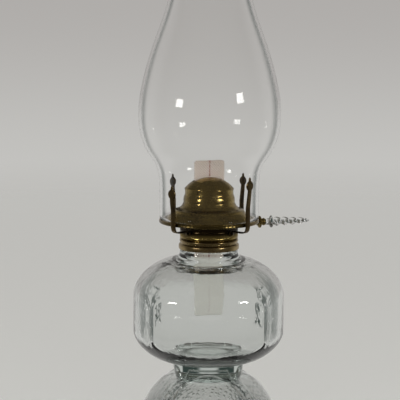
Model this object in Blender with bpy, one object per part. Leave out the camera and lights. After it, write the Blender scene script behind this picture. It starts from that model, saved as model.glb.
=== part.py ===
"""Oil lamp with a pressed glass font, a flat-wick burner and a chimney: the design model.

Units are metres, written as millimetres times MM. +Z is up. The origin is on the lamp's
axis at the level of the table. The burner's own x axis runs along its winder shaft, and
the burner is turned by BURNER_TURN about the lamp's axis.
"""

import math

import bmesh
import bpy
import numpy as np
from mathutils import Matrix, Vector

for old in list(bpy.data.objects):
    bpy.data.objects.remove(old, do_unlink=True)

MM = 0.001
GAP = 0.3 * MM  # between pieces that touch or are fixed together

# ---- pedestal: four lobes, a domed foot and a short stem
FOOT_RADIUS = 61 * MM
FOOT_RIM_HEIGHT = 5 * MM
DOME_HEIGHT = 71 * MM  # from the rim to where the dome meets the stem
DOME_POWER = 1.9  # 2 would be a quarter of an ellipse, 1 a straight cone
STEM_RADIUS = 26.1 * MM
STEM_HEIGHT = 12.2 * MM  # from the dome's end to the font
FOOT_WALL = 6.5 * MM
HOLLOW_TOP_RADIUS = 14 * MM
HOLLOW_TOP_WALL = 9 * MM  # dome's end down to the hollow's flat top

# ---- font: four bowed panels between round shoulders
FONT_RADIUS = 58.1 * MM  # to the middle of a panel
FONT_WALL = 4 * MM
FONT_FLOOR = 6.5 * MM
FONT_BELLY_HEIGHT = 22.5 * MM  # underside to the panels' lower end
FONT_BELLY_POWER = 1.7
FONT_PANEL_HEIGHT = 27 * MM
FONT_SHOULDER_HEIGHT = 31.5 * MM
PANEL_BOW = 0.143  # how far a panel's centre of curvature lies behind the axis, over its radius
NECK_STEP = 1.4 * MM  # neck outside the spigot
NECK_HEIGHT = 5.6 * MM  # the stretch that shows below the collar
SPIGOT_RADIUS = 21 * MM  # the stretch inside the collar
SPIGOT_HEIGHT = 7.3 * MM
SPIGOT_WALL = 1.8 * MM

# ---- collar
COLLAR_WALL = 0.8 * MM
COLLAR_SKIRT_HEIGHT = 7.9 * MM
PLASTER_THICKNESS = 0.9 * MM
THREAD_CLEARANCE = 0.4 * MM
THREAD_DEPTH = 0.35 * MM
THREAD_PITCH = 1.8 * MM
THREAD_RINGS = 3

# ---- burner
BURNER_TURN = math.radians(15)
SHEET = 0.7 * MM  # the brass sheet of the burner's pressings
BASKET_STEP = 1.4 * MM  # basket outside the glass spigot
BASKET_HEIGHT = 11.2 * MM
AIR_SLOTS = 16
AIR_SLOT_WIDTH = 2.2 * MM
GALLERY_RISE = 1.8 * MM  # perforated plate up to the chimney's seat
GALLERY_LIP_HEIGHT = 2.8 * MM
SEAT_MARGIN = 1.1 * MM  # seat inside the chimney's wall
GALLERY_HOLES = 18
GALLERY_HOLE_RADIUS = 1.7 * MM
CONE_CLEARANCE = 2.4 * MM  # cone's foot inside the chimney's seat
CONE_DOME_RADIUS = 18.9 * MM
CONE_HEIGHT = 34.4 * MM

# ---- wick and winder
WICK_WIDTH = 23.7 * MM
WICK_THICKNESS = 2 * MM
WICK_OUT = 12.3 * MM  # above the cone's top
WICK_DROP = 47 * MM  # below the neck's root, inside the font
WICK_CLEARANCE = 0.35 * MM
TUBE_WALL = 0.5 * MM
TUBE_BELOW_COLLAR = 1.5 * MM
TUBE_BELOW_CONE_TOP = 6 * MM
VENT_RADIUS = 1.6 * MM
VENT_OFFSET = 6.5 * MM
VENT_HEIGHT = 20 * MM
SHAFT_RADIUS = 1.1 * MM
SHAFT_CLEARANCE = 0.3 * MM
BUSH_WALL = 0.5 * MM
WHEEL_RADIUS = 4.25 * MM
WHEEL_TEETH = 14
WHEEL_TOOTH_DEPTH = 0.8 * MM
WHEEL_WIDTH = 2.4 * MM
WHEEL_COUNT = 3
HOUSING_WALL = 0.7 * MM

# ---- knob: places along the shaft count from the gallery's edge
KNOB_CLEAR_OF_GALLERY = 0.9 * MM
FERRULE_LENGTH = 7.5 * MM
DISC_RADIUS = 4.7 * MM
CRYSTAL_LENGTH = 35.8 * MM
CRYSTAL_FLANGE_RADIUS = 5 * MM
CRYSTAL_RADIUS = 2.8 * MM

# ---- prongs
PRONG_COUNT = 4
PRONG_FIRST_ANGLE = math.radians(32)  # from the winder shaft
PRONG_THICKNESS = 0.9 * MM
PRONG_WIDTH = 4.8 * MM
PRONG_BULB_WIDTH = 7.8 * MM
PRONG_HEIGHTS = (40.4 * MM, 39.6 * MM, 36.2 * MM, 42.6 * MM)  # leg to tip, bent a little unevenly
PRONG_LEG_DROP = 5 * MM  # leg below the gallery's plate
PRONG_TAB_HEIGHT = 3.2 * MM
RIVET_RADIUS = 0.8 * MM
RIVET_HEAD_RADIUS = 1.3 * MM

# ---- chimney
CHIMNEY_FITTER_RADIUS = 38.1 * MM
CHIMNEY_BULB_RADIUS = 54.2 * MM
CHIMNEY_TOP_RADIUS = 25 * MM
CHIMNEY_WALL = 2 * MM
CHIMNEY_FITTER_HEIGHT = 37 * MM
CHIMNEY_BULB_HEIGHT = 80 * MM  # base to the widest place
CHIMNEY_HEIGHT = 254 * MM

# ---- how finely round shapes are cut
GLASS_SIDES = 32
BRASS_SIDES = 28
SMALL_SIDES = 12

# ---- levels, from the table up
DOME_TOP = FOOT_RIM_HEIGHT + DOME_HEIGHT
PEDESTAL_TOP = DOME_TOP + STEM_HEIGHT
FONT_BOTTOM = PEDESTAL_TOP + GAP
PANEL_BOTTOM = FONT_BOTTOM + FONT_BELLY_HEIGHT
PANEL_TOP = PANEL_BOTTOM + FONT_PANEL_HEIGHT
SHOULDER_TOP = PANEL_TOP + FONT_SHOULDER_HEIGHT
SPIGOT_BOTTOM = SHOULDER_TOP - 1.0 * MM + NECK_HEIGHT
SPIGOT_TOP = SPIGOT_BOTTOM + SPIGOT_HEIGHT
COLLAR_TOP = SPIGOT_TOP + GAP + COLLAR_WALL
FLANGE_BOTTOM = COLLAR_TOP + GAP
FLANGE_TOP = FLANGE_BOTTOM + SHEET
BASKET_BOTTOM = FLANGE_TOP + GAP
BASKET_TOP = BASKET_BOTTOM + BASKET_HEIGHT
GALLERY_PLATE_TOP = BASKET_TOP + GAP + SHEET
SEAT_TOP = GALLERY_PLATE_TOP + GALLERY_RISE
CHIMNEY_BOTTOM = SEAT_TOP + GAP
CONE_BOTTOM = GALLERY_PLATE_TOP + GAP
CONE_TOP = CONE_BOTTOM + CONE_HEIGHT
WICK_TOP = CONE_TOP + WICK_OUT
WICK_BOTTOM = SHOULDER_TOP - WICK_DROP
SHAFT_LEVEL = BASKET_TOP - SHAFT_RADIUS - SHAFT_CLEARANCE - BUSH_WALL
PRONG_LEG_LEVEL = BASKET_TOP + GAP - PRONG_LEG_DROP

# ---- radii and places that follow from their neighbours
SPIGOT_BORE = SPIGOT_RADIUS - SPIGOT_WALL
NECK_RADIUS = SPIGOT_RADIUS + NECK_STEP
BASKET_RADIUS = SPIGOT_RADIUS + BASKET_STEP
COLLAR_TUBE_RADIUS = SPIGOT_BORE - 0.5 * MM
COLLAR_BORE = COLLAR_TUBE_RADIUS - COLLAR_WALL
SCREW_RADIUS = COLLAR_BORE - THREAD_CLEARANCE
SCREW_BORE = SCREW_RADIUS - THREAD_DEPTH - SHEET
PLASTER_INNER = SPIGOT_RADIUS + GAP
PLASTER_OUTER = PLASTER_INNER + PLASTER_THICKNESS
SKIRT_INNER = PLASTER_OUTER + GAP
SKIRT_OUTER = SKIRT_INNER + COLLAR_WALL
GALLERY_RADIUS = CHIMNEY_FITTER_RADIUS + GAP
SEAT_INNER = CHIMNEY_FITTER_RADIUS - CHIMNEY_WALL - SEAT_MARGIN
CONE_RADIUS = SEAT_INNER - CONE_CLEARANCE
TUBE_INNER_WIDTH = WICK_WIDTH + 2 * WICK_CLEARANCE
TUBE_INNER_THICKNESS = WICK_THICKNESS + 2 * WICK_CLEARANCE
TUBE_OUTER_WIDTH = TUBE_INNER_WIDTH + 2 * TUBE_WALL
TUBE_OUTER_THICKNESS = TUBE_INNER_THICKNESS + 2 * TUBE_WALL
TUBE_BOTTOM = SPIGOT_BOTTOM - TUBE_BELOW_COLLAR
TUBE_TOP = CONE_TOP - TUBE_BELOW_CONE_TOP
SHAFT_OFFSET = WICK_THICKNESS / 2 + GAP + WHEEL_RADIUS
SHAFT_BORE = SHAFT_RADIUS + SHAFT_CLEARANCE
BUSH_RADIUS = SHAFT_BORE + BUSH_WALL
WHEEL_SPACING = WICK_WIDTH / WHEEL_COUNT
HOUSING_INNER_WIDTH = WICK_WIDTH - 1.2 * MM
HOUSING_INNER_REACH = SHAFT_OFFSET + WHEEL_RADIUS + 1.4 * GAP
HOUSING_INNER_HEIGHT = 2 * (WHEEL_RADIUS + 1.2 * GAP)
SHAFT_END = HOUSING_INNER_WIDTH / 2 + HOUSING_WALL + 1.2 * MM
FERRULE_START = GALLERY_RADIUS + KNOB_CLEAR_OF_GALLERY
CRYSTAL_START = FERRULE_START + FERRULE_LENGTH + GAP
TAB_PLACE = BASKET_RADIUS + GAP + PRONG_THICKNESS / 2
UPRIGHT_PLACE = GALLERY_RADIUS + 2 * GAP + PRONG_THICKNESS / 2


def material(name, color, roughness, metallic=0.0, transmission=0.0):
    """A plain Principled material."""
    made = bpy.data.materials.new(name)
    made.use_nodes = True
    shader = made.node_tree.nodes["Principled BSDF"]
    shader.inputs["Base Color"].default_value = (*color, 1)
    shader.inputs["Roughness"].default_value = roughness
    shader.inputs["Metallic"].default_value = metallic
    shader.inputs["Transmission Weight"].default_value = transmission
    return made


PRESSED_GLASS = material("pressed_glass", (0.80, 0.86, 0.84), 0.03, transmission=0.9)
THIN_GLASS = material("thin_glass", (0.90, 0.92, 0.93), 0.01, transmission=0.95)
BRASS = material("antique_brass", (0.34, 0.27, 0.12), 0.28, metallic=1.0)
BRIGHT_BRASS = material("bright_brass", (0.55, 0.47, 0.25), 0.20, metallic=1.0)
STEEL = material("spring_steel", (0.12, 0.10, 0.07), 0.45, metallic=1.0)
PLASTER = material("plaster", (0.78, 0.76, 0.70), 0.9)
COTTON = material("cotton", (0.74, 0.66, 0.58), 0.95)


def empty(name, place, turn=None, parent=None):
    """An axis to hang pieces on: turn is a rotation matrix."""
    made = bpy.data.objects.new(name, None)
    bpy.context.scene.collection.objects.link(made)
    made.parent = parent
    made.matrix_local = Matrix.Translation(place) @ (turn or Matrix.Identity(4))
    return made


def place_mesh(name, bm, finish, parent=None, sharp=30):
    """Turn a bmesh into a named object, smooth except at edges sharper than `sharp` degrees."""
    bmesh.ops.recalc_face_normals(bm, faces=bm.faces)
    mesh = bpy.data.meshes.new(name)
    bm.to_mesh(mesh)
    bm.free()
    mesh.shade_smooth()
    mesh.set_sharp_from_angle(angle=math.radians(sharp))
    mesh.materials.append(finish)
    made = bpy.data.objects.new(name, mesh)
    bpy.context.scene.collection.objects.link(made)
    made.parent = parent
    return made


def turned(profile, sides, closed=True):
    """Spin (radius, height) points about Z. A closed profile is a loop clear of the axis."""
    bm = bmesh.new()
    points = [bm.verts.new((r, 0, z)) for r, z in profile]
    edges = [bm.edges.new(pair) for pair in zip(points, points[1:])]
    if closed:
        edges.append(bm.edges.new((points[-1], points[0])))
    bmesh.ops.spin(
        bm, geom=points + edges, cent=(0, 0, 0), axis=(0, 0, 1),
        angle=math.tau, steps=sides, use_merge=True,
    )
    bmesh.ops.remove_doubles(bm, verts=bm.verts, dist=0.001 * MM)
    return bm


def quarter(centre, across, up, start, end, count, power=2.0):
    """Points (radius, height) of a quarter superellipse from height share `start` to `end`."""
    shares = np.sin(np.linspace(math.asin(start), math.asin(end), count))
    radii = centre[0] + across * (1 - np.abs(shares) ** power) ** (1 / power)
    return [(float(r), centre[1] + up * float(s)) for r, s in zip(radii, shares)]


def panel_factor(angle):
    """How far out a four-panelled outline lies at this angle, as a factor on its mid-panel radius."""
    off = (angle + math.pi / 4) % (math.pi / 2) - math.pi / 4
    arc = 1 + PANEL_BOW
    return math.sqrt(arc**2 - (PANEL_BOW * math.sin(off)) ** 2) - PANEL_BOW * math.cos(off)


def fade(value, low, high):
    """0 below `low`, 1 above `high`, and smooth between."""
    share = min(max((value - low) / (high - low), 0), 1)
    return share * share * (3 - 2 * share)


def panel_shape(bm, weight):
    """Push a turned shape's points out to four bowed panels; weight(height) is 0 where it stays round."""
    for vert in bm.verts:
        angle = math.atan2(vert.co.y, vert.co.x)
        factor = 1 + (panel_factor(angle) - 1) * weight(vert.co.z)
        vert.co.x *= factor
        vert.co.y *= factor


def thicken(piece, wall):
    """Give a sheet its thickness on the inner side."""
    solid = piece.modifiers.new("wall", "SOLIDIFY")
    solid.thickness = wall
    solid.offset = -1
    solid.use_even_offset = True


def cut(piece, cutter):
    """Take the cutter's shapes out of the piece."""
    cutter.hide_render = True
    cutter.display_type = "WIRE"
    hole = piece.modifiers.new("cut", "BOOLEAN")
    hole.operation = "DIFFERENCE"
    hole.solver = "EXACT"
    hole.object = cutter


def add_rod(bm, radius, start, end, sides=SMALL_SIDES):
    """A solid rod from point to point."""
    start, end = Vector(start), Vector(end)
    along = end - start
    place = Matrix.Translation((start + end) / 2) @ along.to_track_quat("Z", "Y").to_matrix().to_4x4()
    bmesh.ops.create_cone(
        bm, cap_ends=True, segments=sides, radius1=radius, radius2=radius,
        depth=along.length, matrix=place,
    )


def add_box(bm, low, high, turn=None):
    """A box between two corners, turned about Z by `turn`."""
    size = Vector(high) - Vector(low)
    middle = (Vector(high) + Vector(low)) / 2
    place = Matrix.Translation(middle) @ Matrix.Diagonal((*size, 1))
    bmesh.ops.create_cube(bm, size=1, matrix=(turn or Matrix.Identity(4)) @ place)


def ring_prism(outer, inner, bottom, top):
    """A straight tube between two outlines that have the same number of (x, y) points."""
    bm = bmesh.new()
    loops = [
        [bm.verts.new((x, y, z)) for x, y in outline]
        for outline, z in ((outer, bottom), (outer, top), (inner, top), (inner, bottom))
    ]
    count = len(outer)
    for loop, after in zip(loops, loops[1:] + loops[:1]):
        for i in range(count):
            j = (i + 1) % count
            bm.faces.new((loop[i], loop[j], after[j], after[i]))
    return bm


def prism(outline, bottom, top):
    """A solid with this (x, y) outline."""
    bm = bmesh.new()
    base = bm.faces.new([bm.verts.new((x, y, bottom)) for x, y in outline])
    raised = bmesh.ops.extrude_face_region(bm, geom=[base])["geom"]
    bmesh.ops.translate(bm, verts=[v for v in raised if isinstance(v, bmesh.types.BMVert)], vec=(0, 0, top - bottom))
    return bm


def circle(radius, count, centre=(0, 0)):
    """Points of a circle."""
    angles = np.arange(count) * math.tau / count
    return [(centre[0] + radius * math.cos(a), centre[1] + radius * math.sin(a)) for a in angles]


def flat_oval(width, thickness, count=6):
    """A rectangle whose narrow ends are half circles: `count` points to each end."""
    radius = thickness / 2
    reach = width / 2 - radius
    points = []
    for side, first in ((1, -math.pi / 2), (-1, math.pi / 2)):
        for a in first + np.linspace(0, math.pi, count):
            points.append((side * reach + radius * math.cos(a), radius * math.sin(a)))
    return points


# ================= glass stand =================

def make_pedestal():
    """Stem and domed foot in four lobes, hollow from below."""
    outer = [(STEM_RADIUS, PEDESTAL_TOP), (STEM_RADIUS, (PEDESTAL_TOP + DOME_TOP) / 2)]
    outer += quarter(
        (STEM_RADIUS, FOOT_RIM_HEIGHT), FOOT_RADIUS - STEM_RADIUS, DOME_HEIGHT, 1, 0, 9, DOME_POWER
    )
    outer += [(FOOT_RADIUS, 0.8 * MM), (FOOT_RADIUS - 0.8 * MM, 0)]
    hollow_radius = FOOT_RADIUS - FOOT_WALL
    inner = [(hollow_radius, 0)] + quarter(
        (HOLLOW_TOP_RADIUS, FOOT_RIM_HEIGHT), hollow_radius - HOLLOW_TOP_RADIUS,
        DOME_HEIGHT - HOLLOW_TOP_WALL, 0, 1, 7, DOME_POWER,
    )
    top = (0, PEDESTAL_TOP)
    bm = turned([top] + outer + inner + [(0, inner[-1][1])], GLASS_SIDES, closed=False)
    panel_shape(bm, lambda z: fade(z, FOOT_RIM_HEIGHT, 4 * FOOT_RIM_HEIGHT))
    return place_mesh("pedestal", bm, PRESSED_GLASS)


def make_font():
    """The oil font: a round belly and shoulder, four panels between them, and a neck."""
    belly_centre = FONT_RADIUS - 28.1 * MM
    shoulder_centre = 12 * MM
    neck_share = math.sqrt(1 - ((NECK_RADIUS + 1.9 * MM - shoulder_centre) / (FONT_RADIUS - shoulder_centre)) ** 2)
    outer = [(SPIGOT_RADIUS, SPIGOT_TOP), (SPIGOT_RADIUS, SPIGOT_BOTTOM)]
    outer += [(NECK_RADIUS, SPIGOT_BOTTOM - 0.4 * MM), (NECK_RADIUS, SHOULDER_TOP + 0.6 * MM)]
    outer += quarter(
        (shoulder_centre, PANEL_TOP), FONT_RADIUS - shoulder_centre, FONT_SHOULDER_HEIGHT, neck_share, 0, 8
    )
    outer += [(FONT_RADIUS, (PANEL_TOP + PANEL_BOTTOM) / 2)]
    outer += quarter(
        (belly_centre, PANEL_BOTTOM), FONT_RADIUS - belly_centre, -FONT_BELLY_HEIGHT, 0, 1, 7, FONT_BELLY_POWER
    )

    inner_radius = FONT_RADIUS - FONT_WALL
    floor = FONT_BOTTOM + FONT_FLOOR
    roof_height = FONT_SHOULDER_HEIGHT - 1.1 * FONT_WALL
    bore_share = math.sqrt(1 - ((SPIGOT_BORE - shoulder_centre) / (inner_radius - shoulder_centre)) ** 2)
    inner = quarter(
        (belly_centre, PANEL_BOTTOM), inner_radius - belly_centre, floor - PANEL_BOTTOM, 1, 0, 6, FONT_BELLY_POWER
    )
    inner += quarter((shoulder_centre, PANEL_TOP), inner_radius - shoulder_centre, roof_height, 0, bore_share, 7)
    inner += [(SPIGOT_BORE, SPIGOT_TOP)]
    bm = turned(outer_to_inner(outer, inner), GLASS_SIDES, closed=False)
    close_rim(bm, SPIGOT_TOP)
    low, high = PANEL_BOTTOM - 0.6 * FONT_BELLY_HEIGHT, PANEL_TOP + 0.5 * FONT_SHOULDER_HEIGHT
    panel_shape(bm, lambda z: fade(z, low, PANEL_BOTTOM) * (1 - fade(z, PANEL_TOP, high)))
    return place_mesh("font", bm, PRESSED_GLASS)


def outer_to_inner(outer, inner):
    """Join an outer outline (downwards) to an inner one (upwards) through the axis."""
    return outer + [(0, outer[-1][1]), (0, inner[0][1])] + inner


def close_rim(bm, level):
    """Bridge the two open circles at the top rim, and drop the seam on the axis."""
    on_axis = [e for e in bm.edges if all(Vector(v.co.xy).length < 0.01 * MM for v in e.verts)]
    bmesh.ops.delete(bm, geom=on_axis, context="EDGES")
    rims = [e for e in bm.edges if all(abs(v.co.z - level) < 0.01 * MM for v in e.verts)]
    bmesh.ops.bridge_loops(bm, edges=rims)


# ================= collar =================

def make_collar():
    """Brass collar: a beaded skirt outside the glass spigot and a threaded tube inside it."""
    skirt_bottom = COLLAR_TOP - COLLAR_SKIRT_HEIGHT
    groove = COLLAR_TOP - 2.6 * MM
    upper_bead = SPIGOT_RADIUS + GAP + 1.1 * MM
    loop = [
        (COLLAR_BORE + 0.5 * MM, COLLAR_TOP), (upper_bead - 0.4 * MM, COLLAR_TOP),
        (upper_bead, COLLAR_TOP - 0.5 * MM), (upper_bead, groove + 0.7 * MM),
        (upper_bead - 0.5 * MM, groove + 0.2 * MM), (upper_bead - 0.5 * MM, groove - 0.2 * MM),
        (SKIRT_OUTER - 0.3 * MM, groove - 0.5 * MM), (SKIRT_OUTER, groove - 1.1 * MM),
        (SKIRT_OUTER, skirt_bottom + 0.6 * MM), (SKIRT_OUTER - 0.3 * MM, skirt_bottom),
        (SKIRT_INNER, skirt_bottom), (SKIRT_INNER, groove - 1.2 * MM),
        (SPIGOT_RADIUS + GAP, groove - 0.6 * MM), (SPIGOT_RADIUS + GAP, COLLAR_TOP - COLLAR_WALL),
        (COLLAR_TUBE_RADIUS, COLLAR_TOP - COLLAR_WALL), (COLLAR_TUBE_RADIUS, skirt_bottom + 1 * MM),
        (COLLAR_BORE, skirt_bottom + 1 * MM),
    ]
    return place_mesh("collar", turned(loop + [(COLLAR_BORE, COLLAR_TOP - 0.5 * MM)], BRASS_SIDES), BRIGHT_BRASS)


def make_plaster():
    """Plaster that sets the collar on the glass."""
    bottom = COLLAR_TOP - COLLAR_SKIRT_HEIGHT + 0.4 * MM
    top = COLLAR_TOP - 4.1 * MM
    bm = ring_prism(circle(PLASTER_OUTER, BRASS_SIDES), circle(PLASTER_INNER, BRASS_SIDES), bottom, top)
    return place_mesh("collar_plaster", bm, PLASTER)


# ================= burner =================

def make_screw_shell(burner):
    """Male thread as rolled rings, and the flange that the basket stands on."""
    bottom = COLLAR_TOP - COLLAR_SKIRT_HEIGHT + 1.2 * MM
    outer = [(BASKET_RADIUS - 0.3 * MM, FLANGE_TOP), (BASKET_RADIUS, (FLANGE_TOP + FLANGE_BOTTOM) / 2)]
    outer += [(BASKET_RADIUS - 0.3 * MM, FLANGE_BOTTOM), (SCREW_RADIUS - THREAD_DEPTH, FLANGE_BOTTOM)]
    for ring in range(THREAD_RINGS):
        crest = FLANGE_BOTTOM - 0.6 * MM - (ring + 0.5) * THREAD_PITCH
        outer += [(SCREW_RADIUS, crest + 0.25 * THREAD_PITCH), (SCREW_RADIUS, crest - 0.25 * THREAD_PITCH)]
        outer += [(SCREW_RADIUS - THREAD_DEPTH, crest - 0.45 * THREAD_PITCH)]
    loop = outer + [(SCREW_RADIUS - THREAD_DEPTH, bottom), (SCREW_BORE, bottom), (SCREW_BORE, FLANGE_TOP)]
    return place_mesh("screw_shell", turned(loop, BRASS_SIDES), BRASS, burner)


def make_base_plate(burner):
    """Plate across the burner's bottom, cut for the wick tube and the vent."""
    radius = BASKET_RADIUS - SHEET - GAP
    profile = [(0, BASKET_BOTTOM + SHEET), (radius, BASKET_BOTTOM + SHEET), (radius, BASKET_BOTTOM), (0, BASKET_BOTTOM)]
    plate = place_mesh("base_plate", turned(profile, BRASS_SIDES, closed=False), BRASS, burner)
    holes = bmesh.new()
    width, thickness = TUBE_OUTER_WIDTH / 2 + GAP, TUBE_OUTER_THICKNESS / 2 + GAP
    add_box(holes, (-width, -thickness, BASKET_BOTTOM - SHEET), (width, thickness, BASKET_BOTTOM + 2 * SHEET))
    vent = (0, -VENT_OFFSET)
    add_rod(holes, VENT_RADIUS + GAP, (*vent, BASKET_BOTTOM - SHEET), (*vent, BASKET_BOTTOM + 2 * SHEET))
    cut(plate, place_mesh("base_plate_cutter", holes, BRASS, burner))
    return plate


def make_basket(burner):
    """Air basket: a sheet cylinder with slots, rivet holes and the shaft's hole."""
    profile = [(BASKET_RADIUS, BASKET_TOP), (BASKET_RADIUS, BASKET_BOTTOM)]
    basket = place_mesh("basket", turned(profile, BRASS_SIDES, closed=False), BRASS, burner)
    face_outwards(basket)
    thicken(basket, SHEET)
    holes = bmesh.new()
    reach = BASKET_RADIUS + 2 * MM
    depth = BASKET_RADIUS - 2 * MM
    low, high = BASKET_TOP - 3.9 * MM, BASKET_TOP - 1.1 * MM
    for slot in range(AIR_SLOTS):
        angle = PRONG_FIRST_ANGLE + (slot + 0.5) * math.tau / AIR_SLOTS
        if abs(math.sin(angle)) * BASKET_RADIUS - SHAFT_OFFSET < 6 * MM and math.cos(angle) > 0 < math.sin(angle):
            continue  # the winder shaft leaves here
        turn = Matrix.Rotation(angle, 4, "Z")
        add_box(holes, (depth, -AIR_SLOT_WIDTH / 2, low), (reach, AIR_SLOT_WIDTH / 2, high), turn)
    for angle in prong_angles():
        out = Vector((math.cos(angle), math.sin(angle), 0))
        level = Vector((0, 0, rivet_level()))
        add_rod(holes, RIVET_RADIUS + GAP, out * depth + level, out * reach + level, 10)
    axis = (SHAFT_OFFSET, SHAFT_LEVEL)
    add_rod(holes, BUSH_RADIUS + GAP, (depth - 2 * MM, *axis), (reach + 1 * MM, *axis))
    cut(basket, place_mesh("basket_cutter", holes, BRASS, burner))
    return basket


def face_outwards(piece):
    """Make a one-layer sheet's faces point away from the Z axis or upwards."""
    mesh = piece.data
    outward = sum(p.area * (Vector((p.center.x, p.center.y, 0)).dot(p.normal) + 0.001 * p.normal.z) for p in mesh.polygons)
    if outward < 0:
        mesh.flip_normals()


def make_gallery(burner):
    """Perforated plate that rises to the chimney's seat and ends in a rolled lip."""
    plate, seat = GALLERY_PLATE_TOP, SEAT_TOP
    lip = seat - GALLERY_LIP_HEIGHT
    inner = BASKET_RADIUS - 1.8 * MM
    loop = [
        (inner, plate), (SEAT_INNER - 0.8 * MM, plate), (SEAT_INNER, seat), (GALLERY_RADIUS - 0.5 * MM, seat),
        (GALLERY_RADIUS, seat - 0.5 * MM), (GALLERY_RADIUS, lip + 0.4 * MM), (GALLERY_RADIUS - 0.4 * MM, lip),
        (GALLERY_RADIUS - SHEET, lip + 0.1 * MM), (GALLERY_RADIUS - SHEET - 0.1 * MM, seat - SHEET),
        (SEAT_INNER + 0.5 * MM, seat - SHEET), (SEAT_INNER - 0.3 * MM, plate - SHEET), (inner, plate - SHEET),
    ]
    gallery = place_mesh("gallery", turned(loop, BRASS_SIDES), BRASS, burner)
    holes = bmesh.new()
    ring = (inner + SEAT_INNER) / 2
    for x, y in circle(ring, GALLERY_HOLES):
        add_rod(holes, GALLERY_HOLE_RADIUS, (x, y, plate - 3 * SHEET), (x, y, plate + 2 * SHEET), 8)
    cut(gallery, place_mesh("gallery_cutter", holes, BRASS, burner))
    return gallery


def make_cone(burner):
    """Deflector dome: a spread skirt, a stepped waist and a domed top with the wick's slot."""
    top, base = CONE_TOP, CONE_BOTTOM
    dome, skirt = CONE_DOME_RADIUS, CONE_RADIUS
    shoulder = top - 8.6 * MM
    step = skirt - 5.2 * MM
    profile = [(0, top), (0.3 * dome, top - 0.7 * MM), (0.59 * dome, top - 2.7 * MM), (0.82 * dome, top - 5.6 * MM)]
    profile += [(dome, shoulder), (dome + 0.3 * MM, shoulder - 5.5 * MM), (dome + 1.3 * MM, shoulder - 11.3 * MM)]
    profile += [(dome + 2.7 * MM, base + 12 * MM), (dome + 5.1 * MM, base + 10.2 * MM), (step, base + 9.2 * MM)]
    profile += [(step + 0.4 * MM, base + 7.6 * MM), (skirt - 2.2 * MM, base + 4.4 * MM), (skirt, base + 2.6 * MM)]
    profile += [(skirt, base)]
    cone = place_mesh("cone", turned(profile, BRASS_SIDES, closed=False), BRASS, burner)
    face_outwards(cone)
    thicken(cone, SHEET)
    slot = bmesh.new()
    width, half = WICK_WIDTH / 2 + 1.2 * MM, WICK_THICKNESS / 2 + 1.4 * MM
    add_box(slot, (-width, -half, shoulder - 1 * MM), (width, half, top + 2 * MM))
    cut(cone, place_mesh("cone_cutter", slot, BRASS, burner))
    return cone


def make_wick_tube(burner):
    """Flat tube that guides the wick, with a window for each spur wheel."""
    outer = flat_oval(TUBE_OUTER_WIDTH, TUBE_OUTER_THICKNESS)
    inner = flat_oval(TUBE_INNER_WIDTH, TUBE_INNER_THICKNESS)
    tube = place_mesh("wick_tube", ring_prism(outer, inner, TUBE_BOTTOM, TUBE_TOP), BRASS, burner)
    windows = bmesh.new()
    half_width, half_height = WHEEL_WIDTH / 2 + GAP, WHEEL_RADIUS
    for x in wheel_places():
        add_box(
            windows, (x - half_width, TUBE_INNER_THICKNESS / 4, SHAFT_LEVEL - half_height),
            (x + half_width, TUBE_OUTER_THICKNESS, SHAFT_LEVEL + half_height),
        )
    cut(tube, place_mesh("wick_tube_cutter", windows, BRASS, burner))
    return tube


def make_vent_tube(burner):
    """Small tube that lets air into the font as the oil is drawn."""
    centre = (0, -VENT_OFFSET)
    outer = circle(VENT_RADIUS, SMALL_SIDES, centre)
    inner = circle(VENT_RADIUS - TUBE_WALL, SMALL_SIDES, centre)
    bottom = BASKET_BOTTOM - 4 * MM
    return place_mesh("vent_tube", ring_prism(outer, inner, bottom, bottom + VENT_HEIGHT), BRASS, burner)


def wheel_places():
    """Where the spur wheels' middles lie along the shaft."""
    return [(k - (WHEEL_COUNT - 1) / 2) * WHEEL_SPACING for k in range(WHEEL_COUNT)]


def make_winder_housing(burner):
    """Box behind the wick tube, open to it, whose ends carry the shaft."""
    near = TUBE_OUTER_THICKNESS / 2 + GAP
    width, reach, height = HOUSING_INNER_WIDTH / 2, HOUSING_INNER_REACH, HOUSING_INNER_HEIGHT / 2
    box = bmesh.new()
    wall = HOUSING_WALL
    add_box(
        box, (-width - wall, near, SHAFT_LEVEL - height - wall),
        (width + wall, reach + wall, SHAFT_LEVEL + height + wall),
    )
    housing = place_mesh("winder_housing", box, BRASS, burner)
    hollow = bmesh.new()
    add_box(hollow, (-width, near - 2 * wall, SHAFT_LEVEL - height), (width, reach, SHAFT_LEVEL + height))
    cut(housing, place_mesh("housing_cutter", hollow, BRASS, burner))
    bores = bmesh.new()
    ends = width + 3 * wall
    add_rod(bores, SHAFT_BORE, (-ends, SHAFT_OFFSET, SHAFT_LEVEL), (ends, SHAFT_OFFSET, SHAFT_LEVEL))
    cut(housing, place_mesh("housing_bore_cutter", bores, BRASS, burner))
    return housing


# ================= winder, made along the shaft axis's own Z =================

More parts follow.
